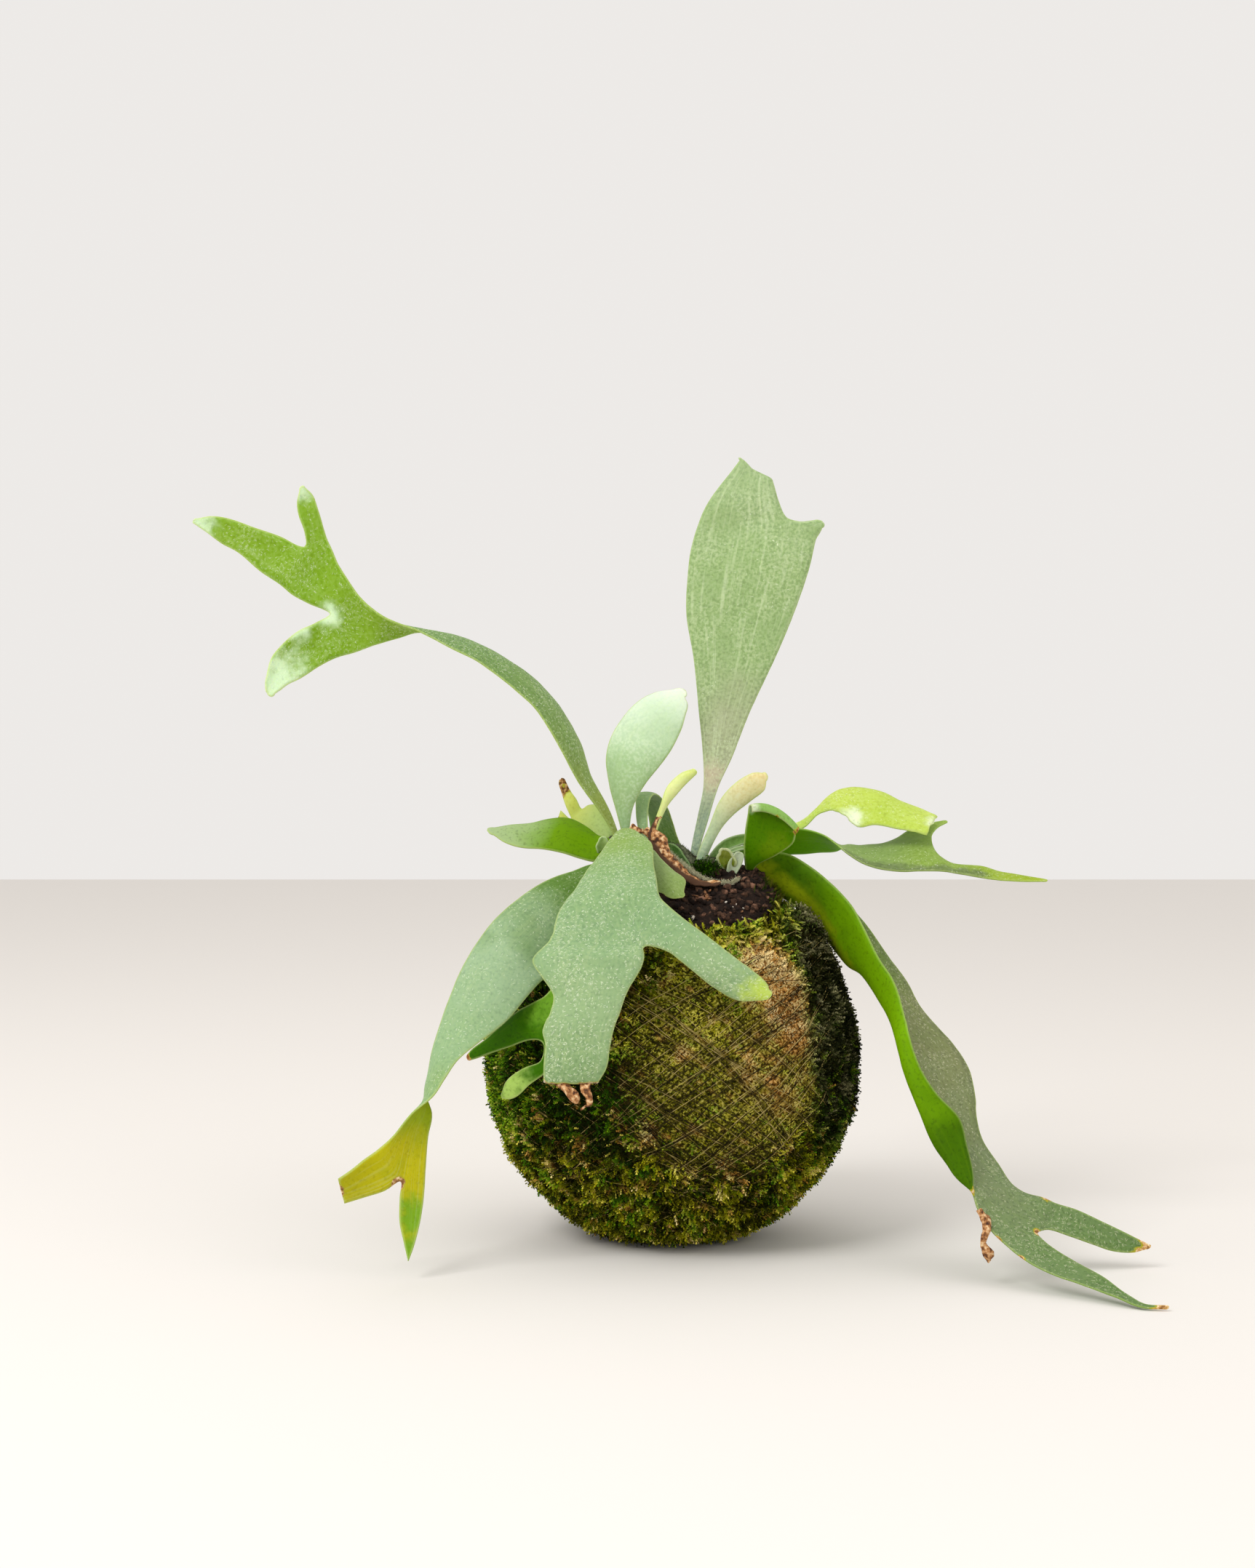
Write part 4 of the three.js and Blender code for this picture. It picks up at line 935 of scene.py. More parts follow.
# %% Rhizome material and felt
felted_bark, add, shader, place = new_material("felted rhizome bark")
patches = add("TexNoise", {"Vector": place, "Scale": 1 / 0.007, "Detail": 3})
lint = add("TexNoise", {"Vector": place, "Scale": 1 / 0.0009, "Detail": 4})
bark = add("ValToRGB", [patches], stops=[
    (0.32, "#15110A"), (0.45, "#2B2A18"), (0.55, "#3F4A30"), (0.7, "#7C7F66"),
])
dusty = add("ValToRGB", [lint], stops=[(0.35, "#221E12"), (0.62, "#7F7E66")])
skin_colour = add("Mix", {0: 0.35, 6: bark, 7: dusty}, **RGBA)
side_place = add("SeparateXYZ", [place])
buried = add("MapRange", [side_place, 14 * MM, 19 * MM], **SMOOTH)
soiled = add("Mix", {0: buried, 6: skin_colour, 7: linear("#2A1B13")}, **RGBA)
bump = add("Bump", {"Height": lint, "Strength": 0.9, "Distance": 0.5 * MM})
set_inputs(shader, {"Base Color": soiled, "Normal": bump, "Roughness": 0.95, "Specular IOR Level": 0.1})
new_piece("rhizome_fine", rhizome_mesh, felted_bark, stands_for=["rhizome"])

FELT_HAIRS = 6500
HALF_THE_HAIRS = FELT_HAIRS // 2


def hairs(roots, along, length, width):
    """Two crossed narrow triangles for each hair, from its root to its tip."""
    side = unit(np.cross(along, [0.3, 0.5, 0.8])) * width[:, None]
    other = np.cross(unit(along), side)
    tips = roots + along * length[:, None]
    points = np.stack([roots - side, roots + side, roots - other, roots + other, tips], axis=1)
    faces = np.array([[0, 1, 4], [2, 3, 4]])[None] + np.arange(len(roots))[:, None, None] * 5
    return points.reshape(-1, 3), faces.reshape(-1, 3)


# Half of the hairs stand in a pale ridge along the dead shield's edge, the rest all over the crown.
FELT_RIDGE = np.array([
    [-5, -12.5, 144.4], [-1, -14.5, 141.2], [2, -15.5, 139], [6, -16.8, 136], [10, -18, 133],
    [16, -18, 131.2], [21.5, -16, 131], [24, -13.5, 132.4],
])
rng = np.random.default_rng(95)
open_places = np.flatnonzero((rhizome_points[:, 2] > 129) & (rhizome_points[:, 0] < 17))
chosen = rng.choice(open_places, HALF_THE_HAIRS)
at = rng.uniform(0, len(FELT_RIDGE) - 1.001, HALF_THE_HAIRS)
from_point, to_point = FELT_RIDGE[at.astype(int)], FELT_RIDGE[at.astype(int) + 1]
on_ridge = from_point + (to_point - from_point) * (at % 1)[:, None]
on_ridge += rng.normal(0, 0.4, (HALF_THE_HAIRS, 3))
roots = np.vstack([rhizome_points[chosen], on_ridge])
leaning = np.vstack([rhizome_normals[chosen], np.tile([0.1, -0.7, 0.5], (HALF_THE_HAIRS, 1))])
leaning = unit(leaning + rng.normal(0, 0.6, (FELT_HAIRS, 3)))
points, faces = hairs(
    roots, leaning, rng.uniform(0.5, 1.3, FELT_HAIRS), rng.uniform(0.05, 0.09, FELT_HAIRS)
)
ridge_share = np.repeat(np.arange(FELT_HAIRS) >= HALF_THE_HAIRS, 5)
felt_hair, add, shader, place = new_material("pale felt hair")
lint_tint = add("TexNoise", {"Vector": place, "Scale": 1 / 0.006, "Detail": 2})
hair_colour = add("ValToRGB", [lint_tint], stops=[(0.35, "#35382A"), (0.5, "#56604A"), (0.65, "#8A9074")])
ridge = add("Attribute", attribute_name="ridge")
pale_hair = add("Mix", {0: ridge, 6: hair_colour, 7: linear("#D8D6B8")}, **RGBA)
set_inputs(shader, {"Base Color": pale_hair, "Roughness": 0.8, "Specular IOR Level": 0.1})
loose_piece("rhizome_felt", points, faces, felt_hair, {"ridge": ridge_share})

# %% Crumbs on the buried part
CROWN_CRUMBS = 520
rng = np.random.default_rng(99)
on_right = np.flatnonzero((rhizome_points[:, 0] > 16) & (rhizome_points[:, 2] > 129))
places = rhizome_points[rng.choice(on_right, CROWN_CRUMBS)]
sizes = 0.4 + 1.2 * rng.random(CROWN_CRUMBS) ** 2
points, faces = lumps(rng, places, sizes, np.array([1.0, 0.85, 0.75]))
crown_tone = np.repeat(rng.uniform(0.0, 0.4, CROWN_CRUMBS), 12)
loose_piece("crown_crumbs", points, faces, soil, {"tone": crown_tone})

# %% [markdown]
# ## The fronds' stations
#
# A frond is described as a maker would cut it: by stations from its base to its tip. A station is
# the blade's two edges (six numbers, in mm), and a share of the width that the blade arches
# between them. Where a station has a point between its edges, it is the bottom of a gutter, or at
# the last station before a fork the notch. The first lobe grows on from the first edge and the
# notch, the second from the notch and the second edge. These are the CAD model's stations, so the
# fine blades keep the form of the solids.

# %% Stations
FRONDS = {
    # Arches up and out to the left, turns edge-on and opens into three fingers.
    "frond_upper_left": {"columns": 4, "arch": -0.1, "rows": [
        [-20.6, 0, 144.5, -18.9, 1.5, 144], [-23.4, -1, 151, -21.3, 1, 151.6],
        [-27, -4, 156.9, -24.2, 2, 158.2], [-34.6, -10, 167.7, -30.2, 1, 170.2],
        [-41.5, -16, 180.5, -35, 0, 184], [-50, -19, 194, -43.5, -3, 198],
        [-59, -22, 202.5, -54.5, -6, 208], [-69.5, -24, 210.5, -66.5, -9, 215.5],
        [-80, -25, 216, -78.5, -11, 221], [-90.5, -25, 221.5, -92, -14, 222.5],
        [-99, -26, 225, -100, -17, 220], [-106.5, -26, 229, -107.5, -20, 217.5],
        [-113, -26, 234.5, -115.5, -21, 214.5], [-117, -26, 240.5, -124, -23, 228.5, -122, -22, 212.5]
    ], "lobes": [
        {"rows": [
            [-120.5, -26, 246, -131.5, -24, 232], [-123, -26, 251.5, -137, -25, 235],
            [-125, -26, 256, -133, -25, 252.5, -142, -25, 239]
        ], "lobes": [
            {"rows": [
                [-126.5, -27, 261.5, -132.5, -27, 257.5], [-128, -28, 266.5, -134.5, -28, 263.5],
                [-129.5, -28, 270.5, -135, -28, 268], [-132, -29, 273, -134, -29, 272]
            ]},
            {"rows": [
                [-141.5, -26, 256, -148.5, -26, 243.5], [-150.5, -27, 259, -156, -27, 250],
                [-159, -28, 262, -162.5, -28, 253.5], [-165.5, -29, 263, -168, -29, 257.5],
                [-170.5, -30, 262, -171.5, -30, 260]
            ]},
        ]},
        {"rows": [
            [-129.5, -24, 225, -128, -23, 209.5], [-135.5, -25, 222, -134.5, -25, 205],
            [-140.5, -26, 217.5, -138.5, -26, 203], [-144.5, -27, 212, -141, -27, 201],
            [-146, -28, 205.5, -143, -28, 199.5]
        ]},
    ]},
    # The tallest blade, upright, with a notched top.
    "frond_tall": {"columns": 4, "arch": -0.06, "split": 3, "rows": [
        [6.5, 4, 135, 9.5, 4, 135], [7, 4, 141.5, 10, 3, 141.5], [9.5, 7, 153.5, 13.5, 5, 153.5],
        [12, 10, 166, 17.5, 8, 166], [12, 13, 177.5, 22.5, 10, 176.5], [10.5, 16, 194, 29.5, 13, 194],
        [8.5, 19, 215, 39, 16, 214], [6, 22, 231.5, 46.5, 19, 231.5], [6.5, 24, 248.5, 52.5, 22, 248.5],
        [9, 26, 262, 44.5, 26, 269, 55.5, 24, 260.5]
    ], "lobes": [
        {"rows": [
            [13.5, 27, 273.5, 41.5, 27, 275.5], [18.5, 28, 281, 39.5, 28, 282.5],
            [23.5, 29, 287.5, 38, 29, 285], [26.5, 29, 291.5, 31.5, 29, 288]
        ]},
        {"rows": [
            [49.5, 26, 267.5, 57, 25, 263], [55, 26, 268, 58, 25, 265]
        ]},
    ]},
    # A young pale spoon leaning to the right.
    "frond_pale_short": {"columns": 4, "arch": -0.12, "rows": [
        [-18, 5, 143.5, -16, 7, 143.5], [-19, 6, 149.5, -16, 7, 149.5],
        [-21, 7, 157.5, -14.5, 7, 158.5], [-23.5, 8, 167, -10, 6, 167], [-24.5, 9, 177.5, -2, 5, 177],
        [-21, 10, 188, 3, 6, 186], [-14, 11, 196.5, 5, 7, 192.5], [-6, 12, 201.5, 6, 9, 196.5],
        [0.5, 12, 202.5, 5, 10, 199.5]
    ]},
    # The thinnest young frond.
    "frond_thin_young": {"columns": 2, "arch": -0.12, "rows": [
        [-8, 0, 143.5, -6, 0, 143.5], [-7.5, 0, 150, -5.5, 0, 150], [-4.5, -2, 159, -2, -1, 158.5],
        [-2, -4, 166, 1.5, -3, 163], [3, -6, 171, 5.5, -5, 167.5], [7, -8, 172.5, 8.5, -7, 170.5]
    ]},
    # A pale tongue with a tan tip.
    "frond_tongue": {"columns": 4, "arch": -0.12, "rows": [
        [9, -2, 134, 11.5, -3, 134], [9, -4, 140, 12.5, -4, 139.5], [13.5, -7, 151.5, 17.5, -7, 150],
        [17, -10, 160.5, 22.5, -9, 156], [22.5, -12, 167, 28.5, -11, 161],
        [29, -14, 171, 33.5, -13, 165], [32.5, -14, 171, 34, -14, 168]
    ]},
    # Short and level, to the left.
    "frond_short_left": {"columns": 4, "arch": 0.12, "rows": [
        [-21.5, -4, 145, -21.5, -8, 142], [-24.5, -1, 147, -24.5, -9, 140.5],
        [-27.5, 3, 147.5, -28.5, -9, 138.5], [-32.5, 8, 151, -34, -7, 139.5],
        [-38.5, 10, 154, -40.5, -6, 141.5], [-45, 11, 154, -48.5, -4, 143],
        [-53, 11, 152, -56, -1, 143.5], [-61, 10, 151.5, -62.5, 1, 145.5],
        [-66.5, 8, 150.5, -66.5, 3, 148]
    ]},
    # Behind the short one, torn, with a dry spike.
    "frond_torn_left": {"columns": 4, "arch": 0.1, "rows": [
        [-20, 8, 142.5, -20, 5, 140], [-23, 12, 152.5, -25, 9, 144.5],
        [-26.5, 16, 158.5, -30.5, 13, 144], [-31, 19, 159, -35, 16, 145],
        [-34, 20, 157.5, -38, 19, 153.5, -40.5, 18, 146.5]
    ], "lobes": [
        {"rows": [
            [-36, 20, 161, -39.5, 20, 157.5], [-38.5, 21, 164.5, -41, 21, 162],
            [-40.5, 22, 168.5, -42.5, 22, 166.5]
        ]},
        {"end": "cut", "rows": [
            [-42, 20, 157, -44.5, 19, 150]
        ]},
    ]},
    # Arches forward over the ball and hangs, cut off below, with one side lobe.
    "frond_front": {"columns": 6, "arch": 0.08, "split": 4, "rows": [
        [-18.5, -2, 142.5, -15, -5, 143], [-19, -9, 149, -14.5, -10, 149],
        [-21, -18, 149, -12.5, -18, 149], [-25, -31, 144, -8, -31, 145.5],
        [-29.5, -43, 138.5, -7.5, -43, 139], [-35, -55, 130.5, -6.5, -55, 133],
        [-40, -65, 123, -5.5, -63, 128.5], [-43, -72, 114, -10.5, -72, 112, -2, -67, 125]
    ], "lobes": [
        {"end": "cut", "rows": [
            [-48, -75, 109, -11, -75, 108.5], [-48.5, -76, 106.5, -12, -76, 105],
            [-45.5, -78, 102.5, -14.5, -78, 101], [-41.5, -79.5, 96.5, -17, -79.5, 96.5],
            [-42.5, -81, 90.5, -19, -81, 91], [-45, -82, 85, -21, -82, 86],
            [-44, -83, 80, -22.5, -83, 79], [-44.5, -84, 73.5, -23.5, -84, 73],
            [-44.5, -84, 67.5, -26.5, -84, 67.5]
        ]},
        {"rows": [
            [-3.5, -72, 110.5, 3.5, -68, 120.5], [1.5, -72, 107, 9.5, -69, 116],
            [7, -72, 102.5, 18, -70, 109.5], [13.5, -71, 97.5, 25.5, -70, 104],
            [21, -70, 93.5, 30.5, -69, 99.5], [28, -69, 93.5, 31.5, -69, 97]
        ]},
    ]},
    # A small wavy blade half hidden behind the front frond.
    "frond_behind_front": {"columns": 4, "arch": 0.1, "rows": [
        [-11, -8, 138.5, -8.5, -8, 138.5], [-12.5, -19, 142, -7, -19, 142.5],
        [-13, -27, 139, -4.5, -26, 140], [-11, -33, 134, 0, -31, 136], [-8.5, -38, 130, 4, -36, 133],
        [-4, -41, 128.5, 3.5, -39, 129]
    ]},
    # Hangs to the left, rolls over and shows its underside.
    "frond_left_hanging": {"columns": 4, "arch": 0.08, "rows": [
        [-21.5, -3, 137.5, -20, -7, 136], [-25.5, -9, 137.5, -23, -15, 134],
        [-30, -14, 137.5, -25, -24, 129], [-36, -20, 135.5, -28, -34, 122.5],
        [-46, -30, 132, -32.5, -43, 114.5], [-55.5, -40, 126, -37, -50, 107.5],
        [-63, -47, 119.5, -41.5, -56, 102.5], [-69, -53, 111.5, -46.5, -61, 99],
        [-73.5, -57, 103.5, -51.5, -64, 93.5], [-77.5, -60, 94, -58, -66, 86],
        [-81, -62, 84, -66.5, -68, 79.5], [-83.5, -64, 75, -74, -70, 73.5],
        [-85, -64, 67.5, -78.5, -72, 67], [-86, -64, 61, -82.5, -74, 61.5],
        [-83.5, -65, 54.5, -89.5, -75, 56], [-84.5, -67, 47, -95, -75, 49],
        [-85, -69, 38.5, -93.5, -72, 32.5, -100.5, -76, 44]
    ], "lobes": [
        {"rows": [
            [-85.5, -71, 28.5, -93.5, -73, 27], [-86.5, -73, 20, -93.5, -74, 19],
            [-88, -75, 13, -92, -75, 12.5], [-90, -76, 7, -90.5, -76, 6.5]
        ]},
        {"end": "cut", "rows": [
            [-98.5, -73, 29.5, -104.5, -77, 41], [-105, -74, 27.5, -109, -78, 37.5],
            [-112, -75, 25.5, -113.5, -79, 34.5]
        ]},
    ]},
    # Lies close over the moss under the front frond, two lobes.
    "frond_under_left": {"columns": 4, "arch": 0.08, "rows": [
        [-15.5, -5, 134, -13, -5, 135.5], [-18, -15, 131, -12.5, -15, 131],
        [-23, -34, 124, -15.5, -36, 122.5], [-30, -50, 113.5, -20, -53, 111],
        [-37, -58, 104, -25, -62, 99], [-44, -60, 95, -32, -66, 87],
        [-48.5, -60, 92, -45.5, -64, 78.5, -37, -68, 75]
    ], "lobes": [
        {"rows": [
            [-54, -56, 88.5, -50, -60, 79], [-60.5, -51, 83, -57, -54, 76],
            [-66, -46, 78, -64, -48, 73], [-71, -42, 74, -69.5, -43, 70.5],
            [-73, -40, 71.5, -72, -40, 69.5]
        ]},
        {"rows": [
            [-46, -66, 72.5, -44.5, -68, 68.5], [-51.5, -65, 70, -50, -67, 64.5],
            [-56, -63, 67, -54, -65, 60.5], [-58.5, -61, 64, -57, -62, 59],
            [-59.5, -60, 61, -59, -60, 59]
        ]},
    ]},
    # A broad stub, torn off and folded back at its rim.
    "frond_stub_right": {"columns": 4, "arch": 0.05, "end": "cut", "rows": [
        [27.5, -2, 133.5, 29.5, -2, 134], [26.5, -7, 138, 31.5, -7, 137.5],
        [26, -11, 145, 38, -12, 141], [26.5, -13, 151, 43.5, -14, 145],
        [27.3, -14, 156.3, 36.5, -15, 155.3, 44.8, -16, 149.2],
        [27.6, -14.4, 158.9, 36.8, -15.4, 157.9, 45.6, -16, 150.6],
        [28.2, -16.6, 159.4, 37, -17.4, 158.2, 45.8, -17.2, 150.8],
        [28.6, -17.8, 158, 37, -18.4, 156.6, 45.2, -18, 149.6],
        [28.4, -17.6, 156.6, 36.8, -18.2, 155.6, 44.9, -17.8, 149]
    ]},
    # Reaches level to the right, turned over once, with a long tip.
    "frond_right_level": {"columns": 4, "arch": 0.06, "split": 3, "rows": [
        [20.5, 1, 136.5, 21, 6, 135], [25.5, 0, 143, 25.5, 6, 140], [32.5, 0, 147.5, 33.5, 9, 141.5],
        [40.5, -1, 150.5, 41.5, 11, 140.5], [47.5, -2, 150.5, 48.5, 12, 140.5],
        [55.5, -3, 148.5, 56.5, 13, 141], [60.5, -5, 145, 62.5, 13, 141.5],
        [64, -8, 141.5, 66.5, 13, 143.5], [69.5, -11, 138, 71.5, 13, 143.5],
        [75, -13, 136, 78, 13, 144], [81.5, -14, 135, 84, 13, 146],
        [89.5, -14, 135, 97.5, 8, 147.5, 89.5, 14, 149.5]
    ], "lobes": [
        {"rows": [
            [97, -14, 135, 97.5, 0, 142], [104.5, -13, 134, 102.5, -4, 138],
            [112.5, -12, 132.5, 113.5, -6, 136.5], [120, -11, 131.5, 120.5, -7, 134.5],
            [128, -11, 131, 128.5, -8, 133], [136.5, -10, 131, 137, -9, 131.5]
        ]},
        {"rows": [
            [100, 12, 150.5, 95.5, 17, 151.5], [104, 15, 152.5, 102.5, 17, 153]
        ]},
    ]},
    # A bright arch to the right with a ragged end.
    "frond_right_arched": {"columns": 4, "arch": -0.1, "end": "cut", "rows": [
        [17, 9, 138, 17, 8, 136], [22, 11, 145, 22.5, 9, 143], [32.5, 13, 149, 33, 10, 146.5],
        [41.5, 13, 150.5, 42.5, 10, 148.5], [48.5, 13, 153, 49.5, 9, 150.5],
        [53.5, 13, 157, 54.5, 8, 155.5], [59, 13, 162, 60, 5, 157], [64, 13, 165, 64.5, 2, 155],
        [71, 13, 165.5, 68.5, -1, 151], [79, 12, 164, 75.5, -3, 152], [86, 11, 160.5, 83, -4, 150.5],
        [93.5, 10, 157.5, 89, -4, 149.5], [99, 8, 155, 94.5, -3, 148]
    ]},
    # A long gutter down to the table, where it spreads in two lobes.
    "frond_right_hanging": {"columns": 4, "arch": -0.08, "rows": [
        [28, -2, 135, 29, 5, 133], [32, -4, 140.4, 32, 2, 131.5, 34.5, 8, 138.5],
        [41, -6, 141.6, 38.5, 3, 127.8, 44.5, 12, 139.5],
        [49.5, -10, 137.4, 45, 1, 122.4, 53.5, 14, 134.5],
        [58, -16, 130.4, 52.5, -1, 116, 62.5, 13, 126.5], [64.5, -21, 123, 58, -6, 108.5, 69, 10, 119],
        [68, -27, 116, 63.5, -12, 101.5, 74, 6, 112.5], [72, -33, 106.5, 68.5, -20, 98, 80, 1, 103.5],
        [77.5, -40, 97, 73, -28, 90.5, 86, -7, 94.5], [80, -47, 87, 77, -37, 83, 91, -15, 84.5],
        [82, -54, 76.5, 79.5, -46, 74.5, 100.5, -25, 73],
        [84.5, -60, 68.5, 81.5, -54, 65.5, 105, -33, 65],
        [89.5, -64, 60.5, 84, -60, 56, 106, -40, 56.5],
        [96.5, -67, 53, 87.5, -66, 45, 105.5, -46, 49.5],
        [98.5, -70, 44.5, 92, -70, 38.5, 107.5, -50, 42], [100, -73, 36, 96, -73, 33.5, 112, -54, 35],
        [100, -77, 27.5, 104, -72, 28.5, 115.5, -58, 29.5],
        [103, -82, 20, 110, -74, 22, 120, -60, 26.5], [110, -87, 13, 121.5, -75, 15.5, 126.5, -62, 25]
    ], "lobes": [
        {"rows": [
            [115.5, -93, 9.5, 124, -82, 13], [122.5, -99, 7, 131, -90, 9.5],
            [131, -105, 5, 138, -99, 6.5], [139, -112, 3, 143.5, -107, 3],
            [146, -118, 1, 148, -116, 1.5], [154, -120, 1, 154, -119.5, 2]
        ]},
        {"rows": [
            [126, -71, 16, 130.5, -61, 23], [134, -68, 13, 138, -60, 20.5],
            [142.5, -65, 9.5, 145.5, -60, 17], [149.5, -63, 7, 153, -60, 13.5],
            [156.5, -61, 6, 159, -60, 10.5], [162, -60, 7, 163, -60, 8.5]
        ]},
    ]},
    # Rises, bends over and hangs behind the ball.
    "frond_back": {"columns": 4, "arch": -0.1, "rows": [
        [-10.5, 8, 143.5, -8, 7, 143.5], [-13, 12, 152.5, -9, 11, 153], [-13.5, 18, 161, -8, 17, 161],
        [-13.5, 26, 163, -5.5, 25, 163], [-10.5, 36, 161.5, -1.5, 34, 158.5],
        [-8, 46, 152, 3, 42, 146.5], [-6, 54, 128, 10, 50, 128.5], [-5.5, 64, 105, 12.5, 60, 105.5],
        [-7.5, 73, 81, 12, 71, 81], [-10, 76, 60, 2, 76, 57, 12.5, 74, 63]
    ], "lobes": [
        {"rows": [
            [-14, 77, 42, -4, 77, 39], [-16.5, 76, 27.5, -10, 76, 24.5], [-18, 74, 16, -15.5, 74, 15]
        ]},
        {"rows": [
            [8, 76, 42.5, 16.5, 75, 47], [14.5, 75, 30.5, 20.5, 74, 33.5], [19.5, 73, 21.5, 21, 72, 23]
        ]},
    ]},
    # A small cupped shield.
    "small_shield_frond": {"columns": 4, "arch": 0.3, "rows": [
        [20.5, -6, 134.5, 22.5, -4, 134], [17, -10, 137, 23, -9, 136.5],
        [16, -11, 140, 23.5, -10, 138.5], [17, -11, 141.5, 22, -10, 141]
    ]},
    # The dead brown margin of an old shield.
    "dry_shield_frond": {"columns": 2, "arch": -0.1, "rows": [
        [-4, -9, 155.5, -6.5, -9, 153.5], [-6.5, -11, 151.5, -8.5, -12, 149],
        [-6, -12, 148.5, -8, -14, 144], [-3.5, -13, 145.5, -5.5, -16, 139.5],
        [0, -15, 141, -2, -18, 135.5], [4, -17, 136.5, 1.5, -20, 133.5], [9, -19, 132.5, 8, -22, 130.5],
        [15.5, -19, 131.5, 15, -22, 130]
    ]},
}

# %% [markdown]
# ## From stations to a blade
#
# Across a station the blade is a parabola, and along the blade each column of points follows a
# smooth Hermite curve through the stations. At a fork the inner edges of both lobes start along
# one common line across the notch, which rounds it off as a real sinus is. A round tip is a few
# more rows that shrink by a cosine while they move on by a sine, and an end that is cut has none.
# The sheet then gets two faces half a thickness to each side. A frond is thick at its stalk and in
# its middle and thin at its margin, which the two distances, from the base and from the margin,
# give.

# %% Rows of a blade
FINE_COLUMNS = 5
ROW_STEP = 1.25
TIP_ROWS = 5
SINUS_SHARE = 0.45


def station_line(first, middle, last, share):
    """Points on the parabola through the edges and the middle: first (1-u)(1-2u) +
    middle 4u(1-u) + last u(2u-1)."""
    u = share[:, None]
    return first * (1 - u) * (1 - 2 * u) + middle * 4 * u * (1 - u) + last * u * (2 * u - 1)


def fork_line(first, notch, last, split, count):
    """Points along the broken line from edge to notch to edge, split columns before the notch."""
    before = np.linspace(0, 1, split + 1)[:, None]
    after = np.linspace(0, 1, count - split + 1)[1:, None]
    return np.vstack([first + (notch - first) * before, notch + (last - notch) * after])


def station_rows(part, count, arch):
    """All stations of one part as rows of count + 1 points, and the column of its notch."""
    rows = [np.array(row, dtype=float).reshape(-1, 3) for row in part["rows"]]
    middles = np.array([(row[0] + row[-1]) / 2 for row in rows])
    split = part["split"] * FINE_COLUMNS if "split" in part else count // 2
    share = np.linspace(0, 1, count + 1)
    lines = []
    for number, row in enumerate(rows):
        if "lobes" in part and number == len(rows) - 1:
            lines.append(fork_line(row[0], row[1], row[2], split, count))
            continue
        ahead = middles[min(number + 1, len(rows) - 1)] - middles[max(number - 1, 0)]
        across = row[-1] - row[0]
        raised = middles[number] + unit(np.cross(ahead, across)) * arch * np.linalg.norm(across)
        lines.append(station_line(row[0], row[1] if len(row) == 3 else raised, row[-1], share))
    return np.array(lines), split


def hermite_rows(lines, before, after, slope=None):
    """Rows about ROW_STEP apart along curves through the stations. The slope at a station is the
    step between its neighbours over their distance. before and after are the neighbours past the
    ends, or None, and slope replaces the first station's slopes where it is given."""
    known = np.array([line for line in (before, *lines, after) if line is not None])
    centres = known.mean(axis=1)
    at = np.concatenate([[0], np.cumsum(np.linalg.norm(np.diff(centres, axis=0), axis=1))])
    first = 0 if before is None else 1
    last = first + len(lines) - 1
    slopes = np.empty_like(known)
    slopes[1:-1] = (known[2:] - known[:-2]) / (at[2:] - at[:-2])[:, None, None]
    slopes[0] = (known[1] - known[0]) / (at[1] - at[0])
    slopes[-1] = (known[-1] - known[-2]) / (at[-1] - at[-2])
    if slope is not None:
        slopes[first] = slope(slopes[first])
    rows = []
    for number in range(first, last):
        gap = at[number + 1] - at[number]
        steps = max(2, round(gap / ROW_STEP))
        t = (np.arange(steps) / steps)[:, None, None]
        rows.append(
            (1 + 2 * t) * (1 - t) ** 2 * known[number]
            + t * (1 - t) ** 2 * gap * slopes[number]
            + t**2 * (3 - 2 * t) * known[number + 1]
            + t**2 * (t - 1) * gap * slopes[number + 1]
        )
    rows.append(known[last][None])
    return np.concatenate(rows)


def round_tip(rows):
    """More rows past the last one, on an ellipse as wide as it and 0.9 times half as long."""
    centre = rows[-1].mean(axis=0)
    half = np.linalg.norm(rows[-1][-1] - rows[-1][0]) / 2
    ahead = unit(centre - rows[-3].mean(axis=0))
    turn = np.linspace(0, math.radians(80), TIP_ROWS + 1)[1:, None, None]
    return centre + (rows[-1] - centre) * np.cos(turn) + ahead * 0.9 * half * np.sin(turn)


